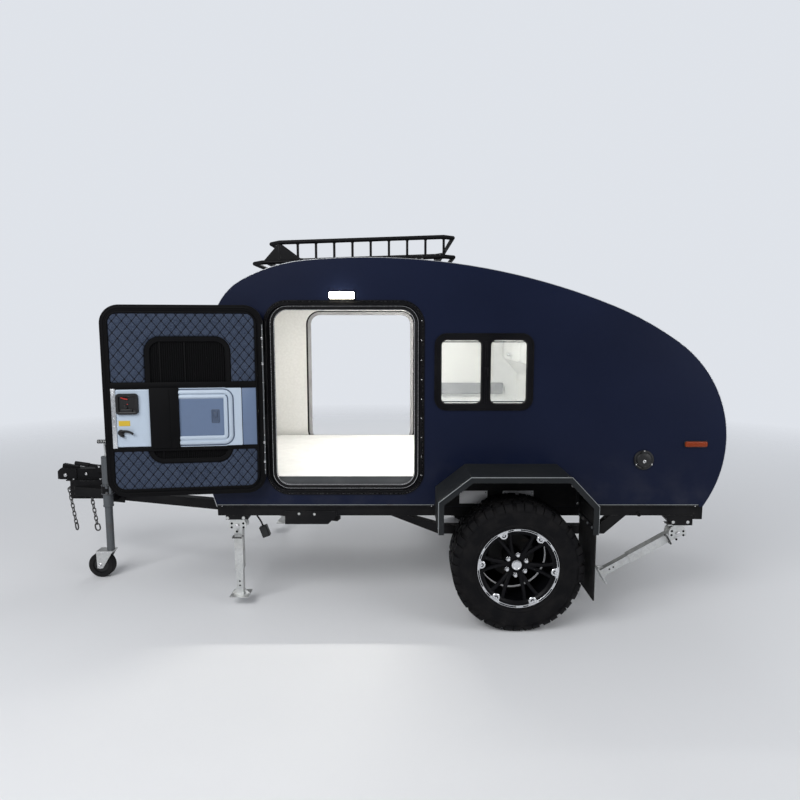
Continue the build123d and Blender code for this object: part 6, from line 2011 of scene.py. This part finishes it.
def soft_light(name, place, target, size, power):
    """Rectangular lamp aimed at a point."""
    lamp = bpy.data.lights.new(name, "AREA")
    lamp.shape = "RECTANGLE"
    lamp.size, lamp.size_y = size
    lamp.energy = power
    obj = bpy.data.objects.new(name, lamp)
    obj.location = place
    obj.rotation_euler = (Vector(target) - Vector(place)).to_track_quat("-Z", "Y").to_euler()
    bpy.context.scene.collection.objects.link(obj)
    return obj


def studio_world(level):
    """Even pale light, with a paler ground for what the camera and mirrors see."""
    world = bpy.data.worlds.new("studio")
    bpy.context.scene.world = world
    f = Finish("studio", world)
    seen = f.add("ShaderNodeLightPath", output="Is Camera Ray").most(
        f.add("ShaderNodeLightPath", output="Is Transmission Ray"))
    lit = f.add("ShaderNodeBackground", None, {"Color": (0.92, 0.95, 1.0), "Strength": level})
    backdrop = f.add("ShaderNodeBackground", None, {"Color": (0.74, 0.77, 0.82), "Strength": 1.0})
    mixed = f.add("ShaderNodeMixShader", None, {0: seen, 1: lit, 2: backdrop})
    f.add("ShaderNodeOutputWorld", None, {"Surface": mixed})


def floor_finish(colour):
    """Pale floor with faint unevenness."""
    f = Finish("studio_floor")
    x, y = f.axes()[:2]
    cloud = f.noise(0.8, 4.0)
    base = f.mix(cloud.ramp(0.3, 0.7, 0.0, 0.25), tuple(colour), shifted(colour, 0.96))
    away = (x * x + y * y) ** 0.5
    return f.surface(Base_Color=base, Roughness=cloud.ramp(0.3, 0.7, 0.55, 0.65), Alpha=away.ramp(9.0, 2.2))


class TRAILER_OT_stage(bpy.types.Operator):
    """Put up the camera, the lights and the floor"""
    bl_idname = "trailer.stage"
    bl_label = "Studio"

    def execute(self, context):
        scene = context.scene
        studio = scene.trailer_studio
        camera = bpy.data.cameras.new("camera")
        camera.lens = studio.lens
        camera.sensor_width = 36.0
        view = bpy.data.objects.new("camera", camera)
        view.location = studio.place
        view.rotation_euler = (pi / 2 - studio.pitch, 0.0, 0.0)
        scene.collection.objects.link(view)
        scene.camera = view
        target = (0.3, 0.0, 0.9)
        soft_light("key_light", (-2.6, -4.6, 4.4), target, (4.0, 3.0), studio.key_power)
        soft_light("fill_light", (4.6, -3.2, 2.6), target, (3.0, 3.0), studio.key_power * 0.35)
        soft_light("back_light", (0.5, 5.2, 4.2), target, (5.0, 2.5), studio.key_power * 0.5)
        studio_world(studio.world_level)
        bm = bmesh.new()
        bmesh.ops.create_grid(bm, x_segments=4, y_segments=4, size=30.0)
        mesh = bpy.data.meshes.new("floor")
        bm.to_mesh(mesh)
        bm.free()
        mesh.materials.append(floor_finish(studio.floor_colour))
        floor = bpy.data.objects.new("floor", mesh)
        scene.collection.objects.link(floor)
        scene.view_settings.view_transform = "Standard"
        return {"FINISHED"}


class TRAILER_OT_finishes(bpy.types.Operator):
    """Mix every finish and give it to the frame's pieces"""
    bl_idname = "trailer.finishes"
    bl_label = "Finishes"

    def execute(self, context):
        make_finishes(context.scene.trailer_colours)
        finish_nodes()
        return {"FINISHED"}


OPERATORS = [TRAILER_OT_stage, TRAILER_OT_finishes, TRAILER_OT_cords, TRAILER_OT_doors, TRAILER_OT_wheels,
             TRAILER_OT_mattress, TRAILER_OT_fittings, TRAILER_OT_cabin, TRAILER_OT_chassis, TRAILER_OT_tail]


class TRAILER_PT_panel(bpy.types.Panel):
    """Sidebar list of the trailer's settings and pieces"""
    bl_idname = "TRAILER_PT_panel"
    bl_label = "Teardrop Trailer"
    bl_space_type = "VIEW_3D"
    bl_region_type = "UI"
    bl_category = "Trailer"

    def draw(self, context):
        for group in (context.scene.trailer_studio, context.scene.trailer_colours):
            for name in group.__annotations__:
                self.layout.prop(group, name)
        for operator in OPERATORS:
            self.layout.operator(operator.bl_idname)


GROUPS = {"trailer_studio": StudioSettings, "trailer_colours": TrailerColours}


def register():
    for name, group in GROUPS.items():
        bpy.utils.register_class(group)
        setattr(bpy.types.Scene, name, bpy.props.PointerProperty(type=group))
    for cls in OPERATORS + [TRAILER_PT_panel]:
        bpy.utils.register_class(cls)


def unregister():
    for cls in reversed(OPERATORS + [TRAILER_PT_panel]):
        bpy.utils.unregister_class(cls)
    for name, group in GROUPS.items():
        delattr(bpy.types.Scene, name)
        bpy.utils.unregister_class(group)


def main():
    register()
    for operator in OPERATORS:
        group, name = operator.bl_idname.split(".")
        getattr(getattr(bpy.ops, group), name)()


if __name__ == "__main__":
    main()
